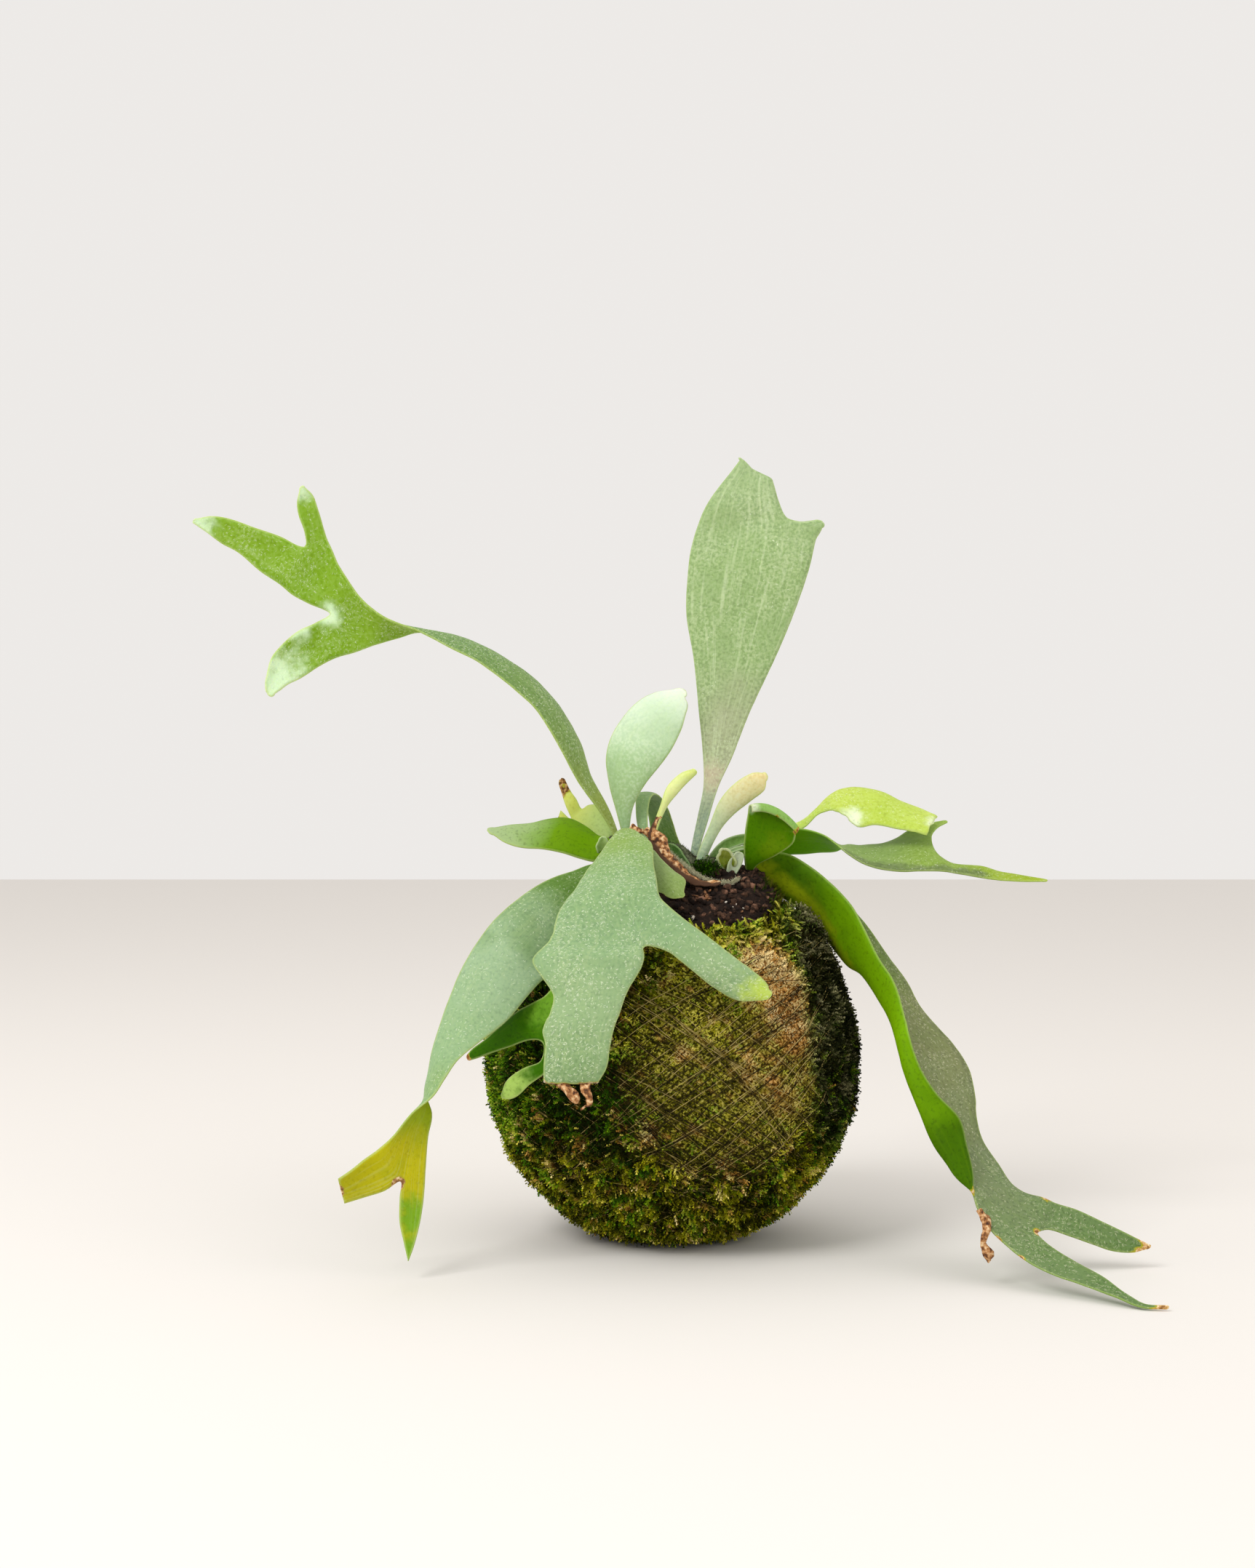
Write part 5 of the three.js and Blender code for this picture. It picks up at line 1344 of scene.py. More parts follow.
# %% Sheet of a frond
def frond_sheet(frond):
    """The middle surface of a whole frond: points, quads, and for each point its share across the
    whole blade, its distance across from the middle column and its distance from the base."""
    points, quads, across, offset, length = [], [], [], [], []
    numbered = 0

    def keep(rows, shares, offsets, lengths, joined):
        """Keeps new rows with their values, joins them to the row before and gives the last."""
        nonlocal numbered
        index = numbered + np.arange(rows[..., 0].size).reshape(rows.shape[:2])
        numbered += index.size
        points.append(rows.reshape(-1, 3))
        across.append(np.tile(shares, len(rows)))
        offset.append(offsets.ravel())
        length.append(lengths.ravel())
        index = index if joined is None else np.vstack([joined, index])
        quads.append(grid_faces(index))
        return index[-1]

    def grow(part, count, shares, start=None):
        """Adds one part and then its lobes. start is what a lobe takes over from its parent."""
        lines, split = station_rows(part, count, frond["arch"])
        lobes = part.get("lobes", [])
        after = None
        if lobes:
            nexts = [station_rows(lobes[0], split, frond["arch"])[0][0],
                     station_rows(lobes[1], count - split, frond["arch"])[0][0]]
            after = np.vstack([nexts[0], nexts[1][1:]])
            after[split] = 2 * lines[-1][split] - lines[-2][split]
        if start:
            rows = hermite_rows(np.array([start["line"], *lines]), start["before"], after, start["slope"])
            rows = rows[1:]
        else:
            rows = hermite_rows(lines, None, after)
        if not lobes and part.get("end") != "cut":
            rows = np.vstack([rows, round_tip(rows)])
        middle = count // 2
        reach = np.cumsum(np.linalg.norm(np.diff(rows, axis=1), axis=2), axis=1)
        reach = np.hstack([np.zeros((len(rows), 1)), reach])
        offsets = reach - reach[:, middle : middle + 1] + (start["offset"][middle] if start else 0)
        centres = rows[:, middle]
        origin = start["line"][middle] if start else centres[0]
        steps = np.linalg.norm(np.diff(np.vstack([origin, centres]), axis=0), axis=1)
        lengths = (start["length"] if start else 0) + np.cumsum(steps)
        last = keep(rows, shares, offsets, np.repeat(lengths[:, None], count + 1, axis=1),
                    start["joined"] if start else None)
        if not lobes:
            return
        spread = (nexts[0][-1] - nexts[1][0]) / max(np.linalg.norm(nexts[0][-1] - lines[-1][split]), 1)
        for side, lobe in enumerate(lobes):
            columns = slice(0, split + 1) if side == 0 else slice(split, count + 1)
            width = split if side == 0 else count - split
            steps_in = np.arange(width + 1) if side else np.arange(width, -1, -1)
            sway = 1 - step_up(steps_in / width, 0, SINUS_SHARE)
            turned = spread * (0.5 if side == 0 else -0.5)

            def sinus(slopes, sway=sway, turned=turned):
                return slopes * (1 - sway[:, None]) + turned * sway[:, None]

            grow(lobe, width, shares[columns], {
                "line": lines[-1][columns], "before": lines[-2][columns], "slope": sinus,
                "joined": last[columns], "offset": offsets[-1][columns], "length": lengths[-1],
            })

    columns = frond["columns"] * FINE_COLUMNS
    grow(frond, columns, np.linspace(0, 1, columns + 1))
    return (np.vstack(points), np.vstack(quads), np.concatenate(across),
            np.concatenate(offset), np.concatenate(length))


def free_edges(quads, total):
    """Edges that only one quad has, as pairs of point numbers in that quad's order."""
    edges = np.stack([quads, np.roll(quads, -1, axis=1)], axis=-1).reshape(-1, 2)
    key = edges.min(axis=1) * total + edges.max(axis=1)
    _, where, counts = np.unique(key, return_index=True, return_counts=True)
    return edges[where[counts == 1]]


def margin_distance(points, rim):
    """Each point's distance in mm to the nearest point of the margin, worked out in blocks."""
    return np.concatenate([
        np.sqrt(((block[:, None] - rim[None]) ** 2).sum(axis=2).min(axis=1))
        for block in np.array_split(points, max(1, len(points) // 500))
    ])


# %% Whole frond
STALK_THICKNESS = 1.9
BLADE_THICKNESS = 0.95
MARGIN_THICKNESS = 0.45


def frond_mesh(name, frond, look):
    """A closed blade: the sheet, bent a little by noise, with a face half a thickness to each
    side and a strip round the margin. Thickness falls from stalk to blade over the first 30 mm
    and from the blade to the margin over the last 2 mm."""
    points, quads, across, offset, length = frond_sheet(frond)
    total = len(points)
    edges = free_edges(quads, total)
    rim = points[np.unique(edges)]
    margin = margin_distance(points, rim)
    corner = points[quads]
    facing = np.cross(corner[:, 2] - corner[:, 0], corner[:, 3] - corner[:, 1])
    normals = np.zeros_like(points)
    for column in range(4):
        np.add.at(normals, quads[:, column], facing)
    normals = unit(normals)
    free = 1.0 if look.get("thin") else step_up(length, 12, 40)
    swell = noise(points, 13.0, 51) + 0.4 * noise(points, 5.0, 52) - 0.7
    points = points + normals * (look.get("swell", 0.9) * (swell * free))[:, None]
    frayed = (noise(points, 2.2, 53) - 0.5) * step_up(-margin, -1.2, 0) * free
    outward = unit(np.cross(normals, unit(points - np.roll(points, 1, axis=0))))
    points = points + outward * (look.get("frayed", 0.25) * frayed)[:, None]
    crinkle = noise(points, 1.7, 54) - 0.5
    points = points + normals * (look.get("crinkle", 0) * crinkle)[:, None]
    stalk = 0 if look.get("thin") else STALK_THICKNESS - BLADE_THICKNESS
    core = BLADE_THICKNESS + stalk * (1 - step_up(length, 5, 30))
    thickness = MARGIN_THICKNESS + (core - MARGIN_THICKNESS) * np.sqrt(np.clip(margin / 2, 0, 1))
    half = normals * thickness[:, None] / 2
    both = np.vstack([points + half, points - half])
    both[:, 2] = np.maximum(both[:, 2], 0.02)
    strip = np.stack([edges[:, 1], edges[:, 0], edges[:, 0] + total, edges[:, 1] + total], axis=-1)
    mesh = new_mesh(name, both * MM, [quads, quads[:, ::-1] + total, strip])
    side = np.concatenate([np.full(total, 1.0), np.zeros(total)])
    side = side if look["upper"] > 0 else 1 - side
    values = {
        "side": side, "along": np.tile(length / length.max(), 2), "across": np.tile(across, 2),
        "margin": np.tile(np.minimum(margin, 5), 2),
    }
    for key in ("dry", "pale", "fresh", "fold", "crease"):
        share = np.zeros(total)
        for x, y, z, radius in look.get(key, []):
            share = np.maximum(share, 1 - np.linalg.norm(points - [x, y, z], axis=1) / radius)
        values[key] = np.tile(share, 2)
    uv = mesh.uv_layers.new(name="blade")
    corners = np.empty(len(mesh.loops), dtype=np.int32)
    mesh.loops.foreach_get("vertex_index", corners)
    flat = np.stack([np.tile(offset, 2), np.tile(length, 2)], axis=-1) / 100
    uv.data.foreach_set("uv", flat[corners].astype(np.float32).ravel())
    return mesh, values

# %% [markdown]
# ## Frond finishes
#
# A staghorn frond is a tough green leaf under a thin felt of star-shaped hairs. From a step away
# the felt shows as a greyish bloom with fine white specks, wider apart on old fronds. New fronds
# are so felted that they look almost white, and light shines through them. All fronds share one
# recipe: a ramp of greens from base to tip for each face, long faint veins, a soft mottle, the
# specks, a paler margin that is partly felt and partly a painted highlight along the edge, and
# brown dry spots where a frond is hurt. Three layers of stretched cells, turned three ways, give
# specks about 0.3 mm wide and a millimetre or two long, because a star of hairs has arms. Each
# frond has its own colours and amounts, and PLAIN_LOOK has the rest.

# %% Frond material
PLAIN_LOOK = {
    "veins": 0.12, "vein_colour": "#CBD8A4", "felt": 0.12, "felt_under": 1, "felt_colour": "#BFCB98",
    "grain": 0.18, "specks_under": 0.25, "fleck": 0.5, "fleck_size": (1.7, 0.48),
    "fleck_colour": "#E8EED6", "rim": 0.5, "rim_and_highlight_colour": "#B4C478", "dry_depth": 0.12,
    "dry_colours": [(0.35, "#5B3A1C"), (0.5, "#9A6B38"), (0.65, "#CDAE78")],
    "shine": 0.14, "glow": 0.35,
}
FLECK_TURNS = (0.5, 1.65, 2.75)


def ramp_stops(colours):
    """Colours in one string spread evenly from base to tip, and a list has its own places."""
    if not isinstance(colours, str):
        return colours
    colours = colours.split()
    return [(number / (len(colours) - 1), colour) for number, colour in enumerate(colours)]


def frond_material(name, look):
    """The recipe for one frond. look gives the hex colours of its upper face, top, and of its
    under face, back, and amounts for specks, felt, veins and how much light passes."""
    look = {**PLAIN_LOOK, **look}
    material, add, shader, place = new_material(f"felted leaf {name}")
    read = {
        key: add("Attribute", attribute_name=key)
        for key in ("side", "along", "across", "margin", "dry", "pale", "fresh", "fold", "crease")
    }
    cloud = add("TexNoise", {"Vector": place, "Scale": 1 / 0.016, "Detail": 2})
    torn = add("TexNoise", {"Vector": place, "Scale": 1 / 0.0035, "Detail": 4})
    ragged = add("Math", [torn, 1, -0.5], operation="MULTIPLY_ADD")
    offset = add("Math", [cloud, 0.3, -0.15], operation="MULTIPLY_ADD")
    position = add("Math", [read["along"], offset], operation="ADD")
    under = add("ValToRGB", [position], stops=ramp_stops(look["back"]))
    upper = add("ValToRGB", [position], stops=ramp_stops(look["top"]))
    facing = add("MapRange", [read["side"], 0.35, 0.65], **SMOOTH)
    colour = add("Mix", {0: facing, 6: under, 7: upper}, **RGBA)
    # fold and crease paint shade into the colour; fresh and pale are the leaf's own colours.
    for key in ("fold", "crease", "fresh", "pale"):
        if key in look:
            ragged_edge = add("Math", [read[key], ragged], operation="ADD")
            share = add("MapRange", [ragged_edge, 0.15, 0.85, 0, 0.9], **SMOOTH)
            colour = add("Mix", {0: share, 6: colour, 7: linear(look[f"{key}_colour"])}, **RGBA)

    streaks_across = add("Math", [read["across"], 26], operation="MULTIPLY")
    streaks_along = add("Math", [read["along"], 5], operation="MULTIPLY")
    streaks = add("CombineXYZ", [streaks_across, streaks_along])
    vein = add("TexNoise", {"Vector": streaks, "Scale": 1, "Detail": 3})
    vein_share = add("MapRange", [vein, 0.5, 0.72, 0, look["veins"]], **SMOOTH)
    colour = add("Mix", {0: vein_share, 6: colour, 7: linear(look["vein_colour"])}, **RGBA)

    felt = add("TexNoise", {"Vector": place, "Scale": 1 / 0.0011, "Detail": 3})
    patchy = add("MapRange", [cloud, 0.35, 0.65, 0.5, 1.3], **SMOOTH)
    felt_share = add("MapRange", [felt, 0.42, 0.66, 0, look["felt"]], **SMOOTH)
    felt_share = add("Math", [felt_share, patchy], operation="MULTIPLY")
    bloomed = add("MapRange", [read["side"], 0.3, 0.7, look["felt_under"], 1], **SMOOTH)
    felt_share = add("Math", [felt_share, bloomed], operation="MULTIPLY")
    colour = add("Mix", {0: felt_share, 6: colour, 7: linear(look["felt_colour"])}, **RGBA)
    shade = add("MapRange", [felt, 0.25, 0.5, 1 - look["grain"], 1], **SMOOTH)
    grey = add("CombineColor", [shade, shade, shade])
    colour = add("Mix", {0: 1, 6: colour, 7: grey}, blend_type="MULTIPLY", **RGBA)

    blade = add("UVMap", uv_map="blade")
    bent = add("TexNoise", {"Vector": blade, "Scale": 70, "Detail": 1}).outputs["Color"]
    wobble = add("VectorMath", [bent, (0.012, 0.012, 0), blade], operation="MULTIPLY_ADD")
    long, wide = look["fleck_size"]
    wanted = add("Math", [patchy, look["specks"]], operation="MULTIPLY")
    flecks = 0
    for turn in FLECK_TURNS:
        turned = add("Mapping", {"Vector": wobble, "Rotation": (0, 0, turn)})
        cells = add("VectorMath", [turned, (100 / long, 100 / wide, 1)], operation="MULTIPLY")
        hairs = add("TexVoronoi", {"Vector": cells, "Scale": 1}, voronoi_dimensions="2D")
        chances = add("SeparateColor", [hairs.outputs["Color"]]).outputs
        chance = add("Math", [chances[0], wanted], operation="ADD")
        rare = add("MapRange", [chance, 1, 1.05], **SMOOTH)
        dot = add("MapRange", [hairs.outputs["Distance"], 0.14, 0.34, 1, 0], **SMOOTH)
        strength = add("Math", [chances[1], 0.7, 0.3], operation="MULTIPLY_ADD")
        hair = add("Math", [rare, dot], operation="MULTIPLY")
        hair = add("Math", [hair, strength], operation="MULTIPLY")
        flecks = add("Math", [flecks, hair], operation="MAXIMUM")
    faced = add("MapRange", [read["side"], 0.3, 0.7, look["specks_under"], 1], **SMOOTH)
    fleck = add("Math", [flecks, faced], operation="MULTIPLY")
    fleck_share = add("Math", [fleck, look["fleck"]], operation="MULTIPLY")
    colour = add("Mix", {0: fleck_share, 6: colour, 7: linear(look["fleck_colour"])}, **RGBA)
    # A paler margin: partly the felt of the edge and partly a painted highlight along it.
    rim = add("MapRange", [read["margin"], 0.15, 0.8, look["rim"], 0], **SMOOTH)
    colour = add("Mix", {0: rim, 6: colour, 7: linear(look["rim_and_highlight_colour"])}, **RGBA)

    inside = add("Math", [read["margin"], -look["dry_depth"]], operation="MULTIPLY")
    wilt = add("Math", [ragged, 1.7, read["dry"]], operation="MULTIPLY_ADD")
    wilt = add("Math", [wilt, inside], operation="ADD")
    hurt = add("MapRange", [read["dry"], 0, 0.15], **SMOOTH)
    yellow = add("MapRange", [wilt, 0.15, 0.4], **SMOOTH)
    yellow = add("Math", [yellow, hurt], operation="MULTIPLY")
    colour = add("Mix", {0: yellow, 6: colour, 7: linear("#A7A02A")}, **RGBA)
    browns = add("ValToRGB", [felt], stops=look["dry_colours"])
    brown = add("MapRange", [wilt, 0.4, 0.48], **SMOOTH)
    brown = add("Math", [brown, hurt], operation="MULTIPLY")
    colour = add("Mix", {0: brown, 6: colour, 7: browns}, **RGBA)

    height = add("Math", [vein, 0.8, felt], operation="MULTIPLY_ADD")
    height = add("Math", [fleck, 0.6, height], operation="MULTIPLY_ADD")
    bump = add("Bump", {"Height": height, "Strength": 0.35, "Distance": 0.25 * MM})
    gloss = add("MapRange", [felt, 0.3, 0.7, 0.5, 0.68], **SMOOTH)
    set_inputs(shader, {
        "Base Color": colour, "Normal": bump, "Roughness": gloss,
        "Specular IOR Level": look["shine"], "Subsurface Weight": look["glow"],
        "Subsurface Radius": (1.0, 1.3, 0.45), "Subsurface Scale": 1.2 * MM,
    })
    return material


# %% [markdown]
# ## Colours of each frond
#
# The upper face is the green, bloomed side. On the fronds that turn over, the other face shows as
# brighter, because light comes through it from behind. upper says which side of the sheet is the
# upper face: 1 for the side that along x across points to, and -1 for the other. Some places have
# a colour of their own, and some have painted shade. dry are hurt places that wilt and turn brown,
# pale are thickly felted ones, fresh are young yellow-green ones, fold is painted shade in a gutter
# and crease a painted dark line of shade along a fold. Each is a list of spots: x, y, z and the
# radius in mm. line makes a row of spots.

# %% Colours
def line(corners, count):
    """Spots in a row along a line with these corners, their sizes passing from one to the next."""
    share = np.linspace(0, len(corners) - 1, count)
    return np.array([np.interp(share, range(len(corners)), column) for column in zip(*corners)]).T


DEEP = {"felt": 0, "specks": 0, "shine": 0.04, "vein_colour": "#7FA010", "veins": 0.1, "grain": 0.32}


LOOKS = {
    "frond_upper_left": {
        "top": "#8F9E48 #72904C #6B8C50 #6F9444 #84A534",
        "back": "#94B048 #8CAC40 #80A322 #78A016 #84A828",
        "specks": 0.2, "specks_under": 0.9, "felt": 0.16, "upper": -1, "glow": 0.5,
        "slot": "frond_bright_green",
        "pale": [(-171, -30, 261, 12), (-144, -27.5, 204, 21), (-136, -24, 224, 10),
                 (-124, -22, 228, 8), (-133, -29, 273, 8)],
        "pale_colour": "#D3E8C6",
    },
    "frond_tall": {
        "top": "#7A9A88 #A3A688 #8CA66C #8DA76C #97AE7C",
        "back": "#7A9A88 #A3A688 #8CA66C #8DA76C",
        "specks": 0.05, "felt": 0.34, "felt_colour": "#C1CEA4", "veins": 0.5,
        "vein_colour": "#C4D2A8", "grain": 0.2, "rim": 0.3, "rim_and_highlight_colour": "#BFCF9A",
        "upper": -1, "glow": 0.35, "slot": "frond_pale_green",
        "fresh": [(14.5, 9, 170, 10)], "fresh_colour": "#BDB096",
    },
    "frond_pale_short": {
        "top": "#9CBF8C #A3C188 #ACC898 #C4D8BA #E0EADA",
        "back": "#A3C594 #ACC890 #BFD4AC #D4E2C6",
        "specks": 0.03, "felt": 0.3, "felt_colour": "#DCE6CE", "grain": 0.06, "upper": -1,
        "glow": 0.5, "slot": "frond_pale_green",
    },
    "frond_thin_young": {
        "top": "#E2E884 #E6EFA0 #EAF2AC #DCE88A",
        "back": "#D6E080 #DEE896 #E6ECA8",
        "specks": 0.02, "felt": 0.3, "felt_colour": "#E6ECC0", "grain": 0.08, "upper": -1,
        "glow": 0.6, "slot": "frond_pale_green",
    },
    "frond_tongue": {
        "top": "#A3C0A4 #B2C9A4 #C9D2A6 #D8D19E #E0CE94",
        "back": "#A3C0A4 #B9C79E #D3CA98",
        "specks": 0.02, "felt": 0.35, "felt_colour": "#DDE2C6", "grain": 0.12, "upper": -1,
        "glow": 0.45, "slot": "frond_pale_green",
    },
    "frond_short_left": {
        **DEEP,
        "top": "#5E8400 #608A02 #68900E #9CB47A #A4B888",
        "back": "#5C8F28 #6B9C3A",
        "upper": 1, "slot": "frond_deep_green",
    },
    "frond_torn_left": {
        "top": "#9CB870 #AEC472 #CCD268 #DADC68",
        "back": "#A0C070 #A6C27A",
        "specks": 0.03, "felt": 0.2, "upper": 1, "glow": 0.5, "slot": "frond_grey_green",
        "dry": [(-41.5, 22, 168.5, 7), (-42, 21, 164, 5), (-44.5, 19, 153, 3)],
    },
    "frond_front": {
        "top": "#829E30 #82A04E #80A16A #84A474 #90AC7C #7C9A68",
        "back": "#6E9A2C #77A62A #7DA82C",
        "specks": 0.22, "fleck": 0.62, "felt": 0.16, "frayed": 0.8, "upper": 1,
        "slot": "frond_grey_green",
        "fresh": [(31, -69, 95, 15)], "fresh_colour": "#BBD24E",
        "pale": [(-11.5, -14, 146.4, 3.6), (-6.5, -16, 144.6, 2.6)], "pale_colour": "#B9CBA0",
        "dry": [(x, -84, 67, 3.2) for x in (-44, -41, -38, -35, -32, -29, -27)],
        "dry_depth": 0.7,
        "dry_colours": [(0.35, "#8A6A44"), (0.5, "#C9B796"), (0.65, "#EFE6D2")],
    },
    "frond_behind_front": {
        "top": "#7B9658 #869F66 #83995A #7C9648",
        "back": "#6E9A2C #77A62A",
        "specks": 0.06, "felt": 0.14, "upper": 1, "slot": "frond_grey_green",
    },
    "frond_left_hanging": {
        # The lighter middle stops of top are partly the leaf's colour and partly a painted highlight.
        "top": "#4C7418 #5A8030 #96B28A #8EAE7E #7A9A54 #7C9C44",
        "back": [(0.0, "#7C9A1C"), (0.72, "#8FA208"), (0.84, "#B4AE00"), (1.0, "#A6A400")],
        "specks": 0.1, "specks_under": 0.1, "felt": 0.12, "felt_under": 0.1, "upper": 1,
        "slot": "frond_grey_green",
        "fresh": [(-90, -74, 9, 15), (-90, -73, 20, 13)], "fresh_colour": "#6A9C14",
        "dry": [(-94, -72, 33, 5.5), (-91, -70.5, 40, 4.5), (-97, -73, 44, 3.5),
                (-113, -77, 30, 4), (-87, -66, 55, 3.5)],
        "dry_depth": 0.2,
        "dry_colours": [(0.35, "#7A5230"), (0.5, "#B58A56"), (0.65, "#E3CFA8")],
    },
    "frond_under_left": {
        **DEEP,
        "top": "#34660A #3A6E00 #386A00 #336400",
        "back": "#4A8018 #4F8A1E",
        "upper": 1, "slot": "frond_deep_green",
        "pale": [(-56, -63, 63, 14)], "pale_colour": "#A8C664",
        "fresh": [(-42, -62, 92, 16), (-36, -63, 84, 12)], "fresh_colour": "#73A42C",
        "dry": [(-73, -40, 70.5, 2)],
    },
    "frond_stub_right": {
        **DEEP,
        "top": "#487600 #4C7C00 #4A7800 #527E02",
        "back": "#74A046 #86AE5A",
        "upper": -1, "slot": "frond_deep_green", "swell": 0.5,
        "pale": [(28.6, -17, 158.4, 4.5)], "pale_colour": "#D6DCC4",
        "dry": [(45.3, -17.4, 150, 2.6), (38, -18, 155.6, 1.5), (44.8, -16, 149.2, 1.8)],
        "dry_depth": 0.3,
        "fold": [(37, -13, 144, 10)], "fold_colour": "#5F8004",
    },
    "frond_right_level": {
        "top": "#7FA34C #7F9C50 #7C9750 #84A03C #98AC2C",
        "back": "#6CA400 #64A000 #66A600 #8CAE34",
        "specks": 0.08, "specks_under": 0.05, "rim": 0.3, "felt": 0.1, "felt_under": 0.0, "upper": 1,
        "slot": "frond_grey_green", "shine": 0.08, "vein_colour": "#A8BC60",
        "fold": line([(63, -8, 142.4, 4), (69.5, -11, 138.6, 5.5), (79, -14, 135.6, 6.5),
                      (90, -14, 135, 6), (102, -13, 134.4, 5), (113, -11, 133, 5)], 30),
        "fold_colour": "#66774A",
    },
    "frond_right_arched": {
        "top": "#8FA854 #A0B848 #B4CA56 #BACC54 #B0C648 #BED25C",
        "back": "#8CAA50 #AAC648 #B4CC50",
        "specks": 0.12, "felt": 0.14, "felt_colour": "#DCE8B0", "upper": -1, "glow": 0.6,
        "slot": "frond_bright_green", "dry": [(71, 12, 163, 1.6)], "frayed": 1.6,
        "pale": [(67, 1, 154.5, 8), (98, 3, 151, 7)], "pale_colour": "#E4EED2",
    },
    "frond_right_hanging": {
        **DEEP,
        "top": "#4E7628 #6B8048 #7C8258 #78865F #6B8452 #58783E",
        "back": "#365A06 #649002 #74A404 #406600 #467208 #5B8230",
        "specks": 0.3, "specks_under": 0.0, "fleck": 0.45, "felt": 0.06, "felt_under": 0.0, "upper": 1,
        "slot": "frond_grey_green", "swell": 0.6, "rim": 0.3, "fleck_size": (2.2, 0.6),
        "fleck_colour": "#D9D7B8", "glow": 0.4,
        "fold": line([(33, -4, 134.8, 8), (46.5, -6, 126.4, 9.5), (57.5, -8, 114, 9.5),
                      (62, -11, 107, 8.5), (67.5, -18, 101.4, 6)], 24),
        "fold_colour": "#8A9A0E",
        "crease": line([(38.8, -6, 139.3, 3), (45.4, -7, 133.8, 4.5), (52.2, -8, 127.9, 4.5),
                        (58.6, -10.5, 121, 4.5), (63.2, -13.5, 114.4, 4.5), (66.4, -17, 108, 4),
                        (68.6, -20.5, 102.7, 3)], 32),
        "crease_colour": "#3A6006",
        "dry": [(62, -12, 110.5, 1.4), (163, -60, 8, 9), (154, -120, 1.5, 6), (121, -75, 16, 3),
                (126.5, -62, 25, 3), (107, -85, 16, 2), (113, -91, 11, 2), (99.5, -75, 30, 3)],
        "dry_depth": 0.25,
        "dry_colours": [(0.35, "#8A6238"), (0.5, "#C79B62"), (0.65, "#E9D3AC")],
    },
    "frond_back": {
        "top": "#8BA878 #7FA05C #4F8020 #5C8628 #6B9036",
        "back": "#93AE86 #55821E #477408 #507C12",
        "specks": 0.12, "felt": 0.14, "upper": -1, "slot": "frond_deep_green",
    },
    "small_shield_frond": {
        "top": "#6B7A14 #6B7A12 #7C8428",
        "back": "#8F9A70 #9AA480",
        "specks": 0.02, "felt": 0.06, "upper": -1, "rim": 0.8, "rim_and_highlight_colour": "#B4BC90",
        "slot": "frond_deep_green",
    },
}

# %% Dress the green fronds
for name, look in LOOKS.items():
    mesh, values = frond_mesh(f"{name}_fine", FRONDS[name], look)
    new_piece(f"{name}_fine", mesh, frond_material(name, look), values, [name])

# %% [markdown]
# ## Dry and small leaves of the crown
#
# Old shield fronds dry to thin brown parchment and stay on the plant. Around them grow buds and
# half-grown leaves in thick felt. They are built from stations as the big fronds are, a few
# millimetres long, so they use the same functions. Parchment has no bloom and no light in it: it
# is matt brown with fine fibres, paler where it is worn and dark where it is still damp.

# %% Dry leaf material
parchment, add, shader, place = new_material("dead leaf parchment")
rust = add("TexNoise", {"Vector": place, "Scale": 1 / 0.0016, "Detail": 5})
fibre = add("TexNoise", {"Vector": place, "Scale": 1 / 0.0007, "Detail": 3})
span = add("Attribute", attribute_name="across")
tan_face = add("ValToRGB", [rust], stops=[
    (0.36, "#3E210D"), (0.45, "#7E4E26"), (0.54, "#BA8450"), (0.66, "#E6C79A"),
])
damp = add("MapRange", [span, 0.3, 0.62], **SMOOTH)
dry_colour = add("Mix", {0: damp, 6: tan_face, 7: linear("#4A2C14")}, **RGBA)
bump = add("Bump", {"Height": fibre, "Strength": 0.8, "Distance": 0.4 * MM})
set_inputs(shader, {"Base Color": dry_colour, "Normal": bump, "Roughness": 0.85})

DRY_LOOK = {"upper": 1, "swell": 0.3, "frayed": 2.4, "crinkle": 1.7, "thin": True}
mesh, values = frond_mesh("dry_shield_frond_fine", FRONDS["dry_shield_frond"], DRY_LOOK)
new_piece("dry_shield_frond_fine", mesh, parchment, values, ["dry_shield_frond"])

# %% Small dry pieces
SHREDS = {
    "dry_scrap_crown": [
        [-16, -9, 149.8, -15.5, -9, 152.4], [-13.8, -10, 149.6, -14, -9, 151.8],
        [-12, -10, 149.2, -12.2, -10, 150.4],
    ],
    "dry_scrap_middle": [
        [-11.4, -11, 150.2, -9.8, -11, 151.8], [-9, -12.4, 147, -5.8, -11.4, 150],
        [-5.8, -13, 144.2, -2.6, -12.4, 147.4], [-3.6, -13.4, 142.4, -2, -13, 144],
    ],
    "dry_scrap_low": [
        [-5, -14, 143.4, -3.4, -13.8, 144.4], [-3.6, -15, 139.4, -1, -14.6, 142],
        [0, -16.5, 135.6, 2.4, -16, 138], [2.6, -17.4, 133.4, 3.8, -17, 134.4],
    ],
    "dry_shred_front_left": [
        [-41.5, -83.6, 67.6, -36, -83.6, 67.6], [-39.2, -84.6, 65.4, -34.8, -84.8, 66],
        [-36.8, -85.2, 63.4, -33, -85.4, 63.8], [-34, -85, 61.4, -32.4, -85, 61.8],
    ],
    "dry_shred_front_right": [
        [-32.6, -83.8, 67.6, -28.6, -83.8, 67.6], [-32, -85.2, 64.8, -29, -85.6, 65.2],
        [-30.4, -86.2, 62, -28, -86.2, 63], [-30.2, -85.4, 60, -28.8, -85, 60.4],
        [-32.2, -84.4, 58.8, -31.2, -84.2, 59.2],
    ],
    "dry_shred_right": [
        [100.5, -81.5, 24.5, 104.5, -81, 21.5], [101.5, -84, 19.5, 104.2, -83.4, 18.5],
        [100.6, -85, 15, 102.6, -84.6, 14.4], [101.2, -84.4, 11.5, 105, -84.8, 11.8],
        [102.6, -84, 8.6, 104.4, -84, 8.8],
    ],
}
for name, rows in SHREDS.items():
    mesh, values = frond_mesh(name, {"columns": 2, "arch": 0.2, "rows": rows}, DRY_LOOK)
    values["across"] = values["across"] * 0.4
    new_piece(name, mesh, parchment, values)

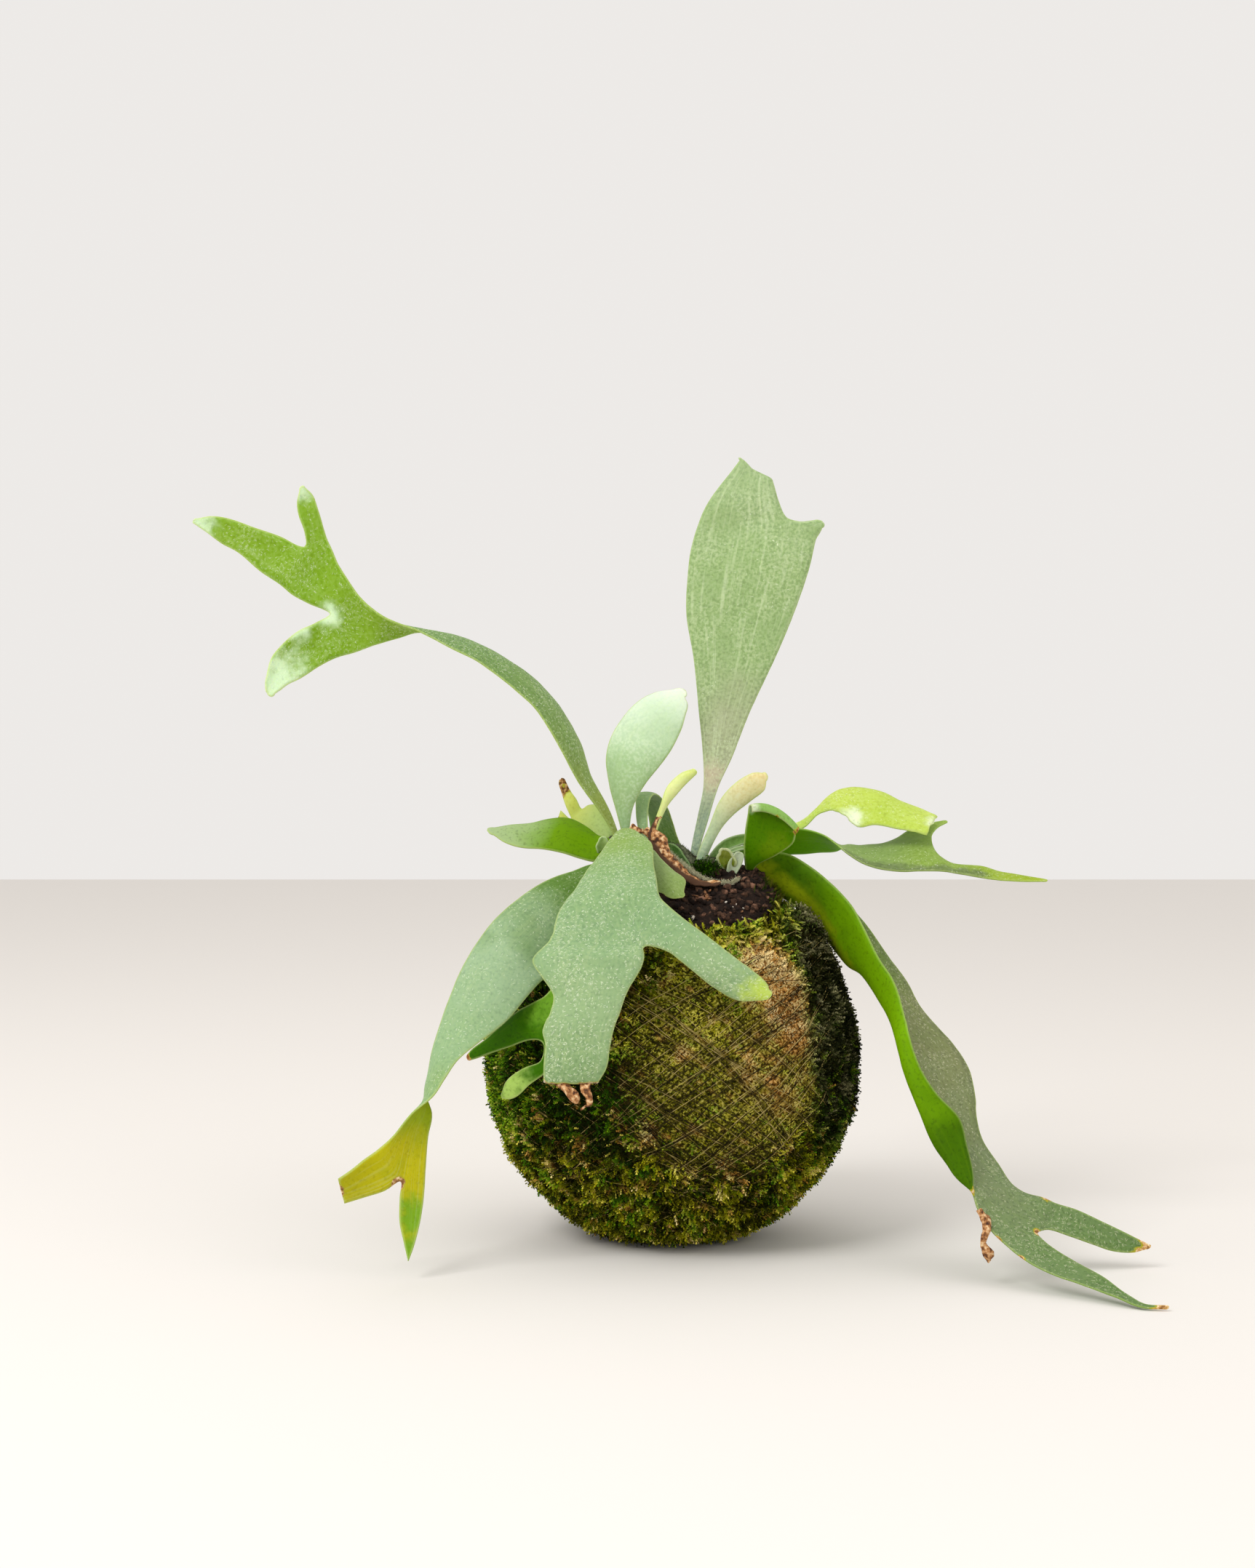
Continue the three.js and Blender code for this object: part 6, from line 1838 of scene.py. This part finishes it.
# %% Buds and young leaves in the crown
YOUNG = {
    "young_leaf_behind": [
        [12.2, -2, 137.5, 13.4, -2, 136.4], [15.2, -2, 142.6, 17.6, -3, 140.8],
        [19.5, -1, 146.4, 21.6, -3, 143.2], [26.6, 0, 148.4, 27, -2, 145],
        [31, 1, 147.5, 31, -1, 145.5],
    ],
    "young_leaf_front": [
        [13, -6, 136.2, 14.4, -6, 135.2], [18, -6, 141, 19, -6.4, 139.6],
        [22.5, -5, 143.4, 23, -5.6, 142], [27, -4, 144.4, 27, -5, 143], [31, -3, 144, 31, -4, 142.8],
    ],
    "felt_bud_left": [
        [-27.5, -8.5, 141.5, -23.6, -8.5, 141.5], [-28.2, -10.5, 144.2, -22.6, -10.5, 144.2],
        [-27.2, -11, 146.2, -23.8, -11, 146.4],
    ],
    "pale_leaf_right": [
        [19.5, -9.5, 134, 23, -9.5, 133.5], [20.6, -10, 138.5, 25.2, -10, 137.5],
        [22.6, -10, 141.2, 25.8, -10, 139.8],
    ],
    "young_leaf_middle": [
        [-2, -12, 137, 6, -13, 133.5], [-3, -12.6, 140.4, 6.6, -13.4, 136.8],
        [-2.4, -12, 143.4, 3.6, -12.6, 141.4],
    ],
}
YOUNG_LOOKS = {
    "young_leaf_behind": {"top": "#6B8C50 #6E9838 #66902E", "back": "#6B8C50 #6E9838"},
    "young_leaf_front": {"top": "#8FA878 #8CAA66 #7FA24C", "back": "#8FA878 #8CAA66"},
    "felt_bud_left": {"top": "#9CC060 #AACC70", "back": "#9CBA66 #AAC876"},
    "pale_leaf_right": {"top": "#9AA888 #B4BEA2", "back": "#9AA888 #B4BEA2"},
    "young_leaf_middle": {
        "top": "#4E6840 #3F6626 #4A7A2A", "back": "#4E6840 #467428", "rim": 0.2,
    },
}
YOUNG_LOOK = {
    "upper": 1, "specks": 0, "felt": 0.16, "rim": 0.55, "rim_and_highlight_colour": "#AEBB98", "swell": 0.3,
    "thin": True, "shine": 0.05,
}
for name, rows in YOUNG.items():
    look = {**YOUNG_LOOK, **YOUNG_LOOKS[name]}
    mesh, values = frond_mesh(name, {"columns": 4, "arch": 0.28, "rows": rows}, look)
    new_piece(name, mesh, frond_material(name, look), values)

# %% Moss tuft in the crown
TUFT = 420
rng = np.random.default_rng(97)
spots = rng.normal(0, 1, (TUFT, 3)) * [2.4, 0.8, 1.4] + [11.8, -12.6, 136]
outwards = unit(np.array([0.1, -0.75, 0.6]) + rng.normal(0, 0.5, (TUFT, 3)))
points, faces, tipness, per_sprig = sprigs(
    spots, outwards, unit(rng.normal(size=(TUFT, 3))), rng.uniform(1.2, 2.4, TUFT),
    rng.uniform(0.4, 0.7, TUFT), rng.uniform(-0.3, 0.3, TUFT),
)
tuft_tint = np.repeat(rng.uniform(0.1, 0.55, TUFT), per_sprig)
loose_piece("moss_tuft_crown", points, faces, living_moss, {
    "tip": tipness, "tint": tuft_tint, "olive": np.zeros(len(points)),
})

# %% [markdown]
# ## The studio
#
# The plant stands on a wide pale floor under a pale, even sky, which is how a white sweep looks.
# The sky gives soft light from everywhere, so the moss stays readable in its shadows. One large
# lamp at the upper left in front gives the leaves their form and the floor a faint shadow.

# %% Floor, sky and lamps
FLOOR_SIZE = 6.0
floor_mesh = bpy.data.meshes.new("floor")
half = FLOOR_SIZE / 2
floor_mesh.from_pydata(
    [(-half, -half, 0), (half, -half, 0), (half, half, 0), (-half, half, 0)], [], [(0, 1, 2, 3)]
)
paper, add, shader, place = new_material("matt white paper")
tooth = add("TexNoise", {"Vector": place, "Scale": 1 / 0.002, "Detail": 2})
bump = add("Bump", {"Height": tooth, "Strength": 0.1, "Distance": 0.1 * MM})
set_inputs(shader, {
    "Base Color": linear("#EAE6E1"), "Normal": bump, "Roughness": 0.9, "Specular IOR Level": 0.1,
})
floor_mesh.materials.append(paper)
floor = bpy.data.objects.new("floor", floor_mesh)
bpy.context.scene.collection.objects.link(floor)

world = bpy.data.worlds.new("pale sky")
world.use_nodes = True
set_inputs(world.node_tree.nodes["Background"], {"Color": linear("#F6F3F0"), "Strength": 0.92})
bpy.context.scene.world = world
bpy.context.scene.view_settings.view_transform = "Standard"

LAMPS = {"key": ((-0.95, -1.0, 1.35), 0.9, 17.0), "fill": ((1.2, -0.9, 0.8), 1.2, 4.0)}
for name, (place_at, size, power) in LAMPS.items():
    lamp_data = bpy.data.lights.new(name, "AREA")
    lamp_data.shape = "DISK"
    lamp_data.size = size
    lamp_data.energy = power
    lamp = bpy.data.objects.new(name, lamp_data)
    lamp.location = place_at
    aim = Vector((0, 0, 0.12)) - lamp.location
    lamp.rotation_euler = aim.to_track_quat("-Z", "Y").to_euler()
    bpy.context.scene.collection.objects.link(lamp)
print("lamps:", list(LAMPS))
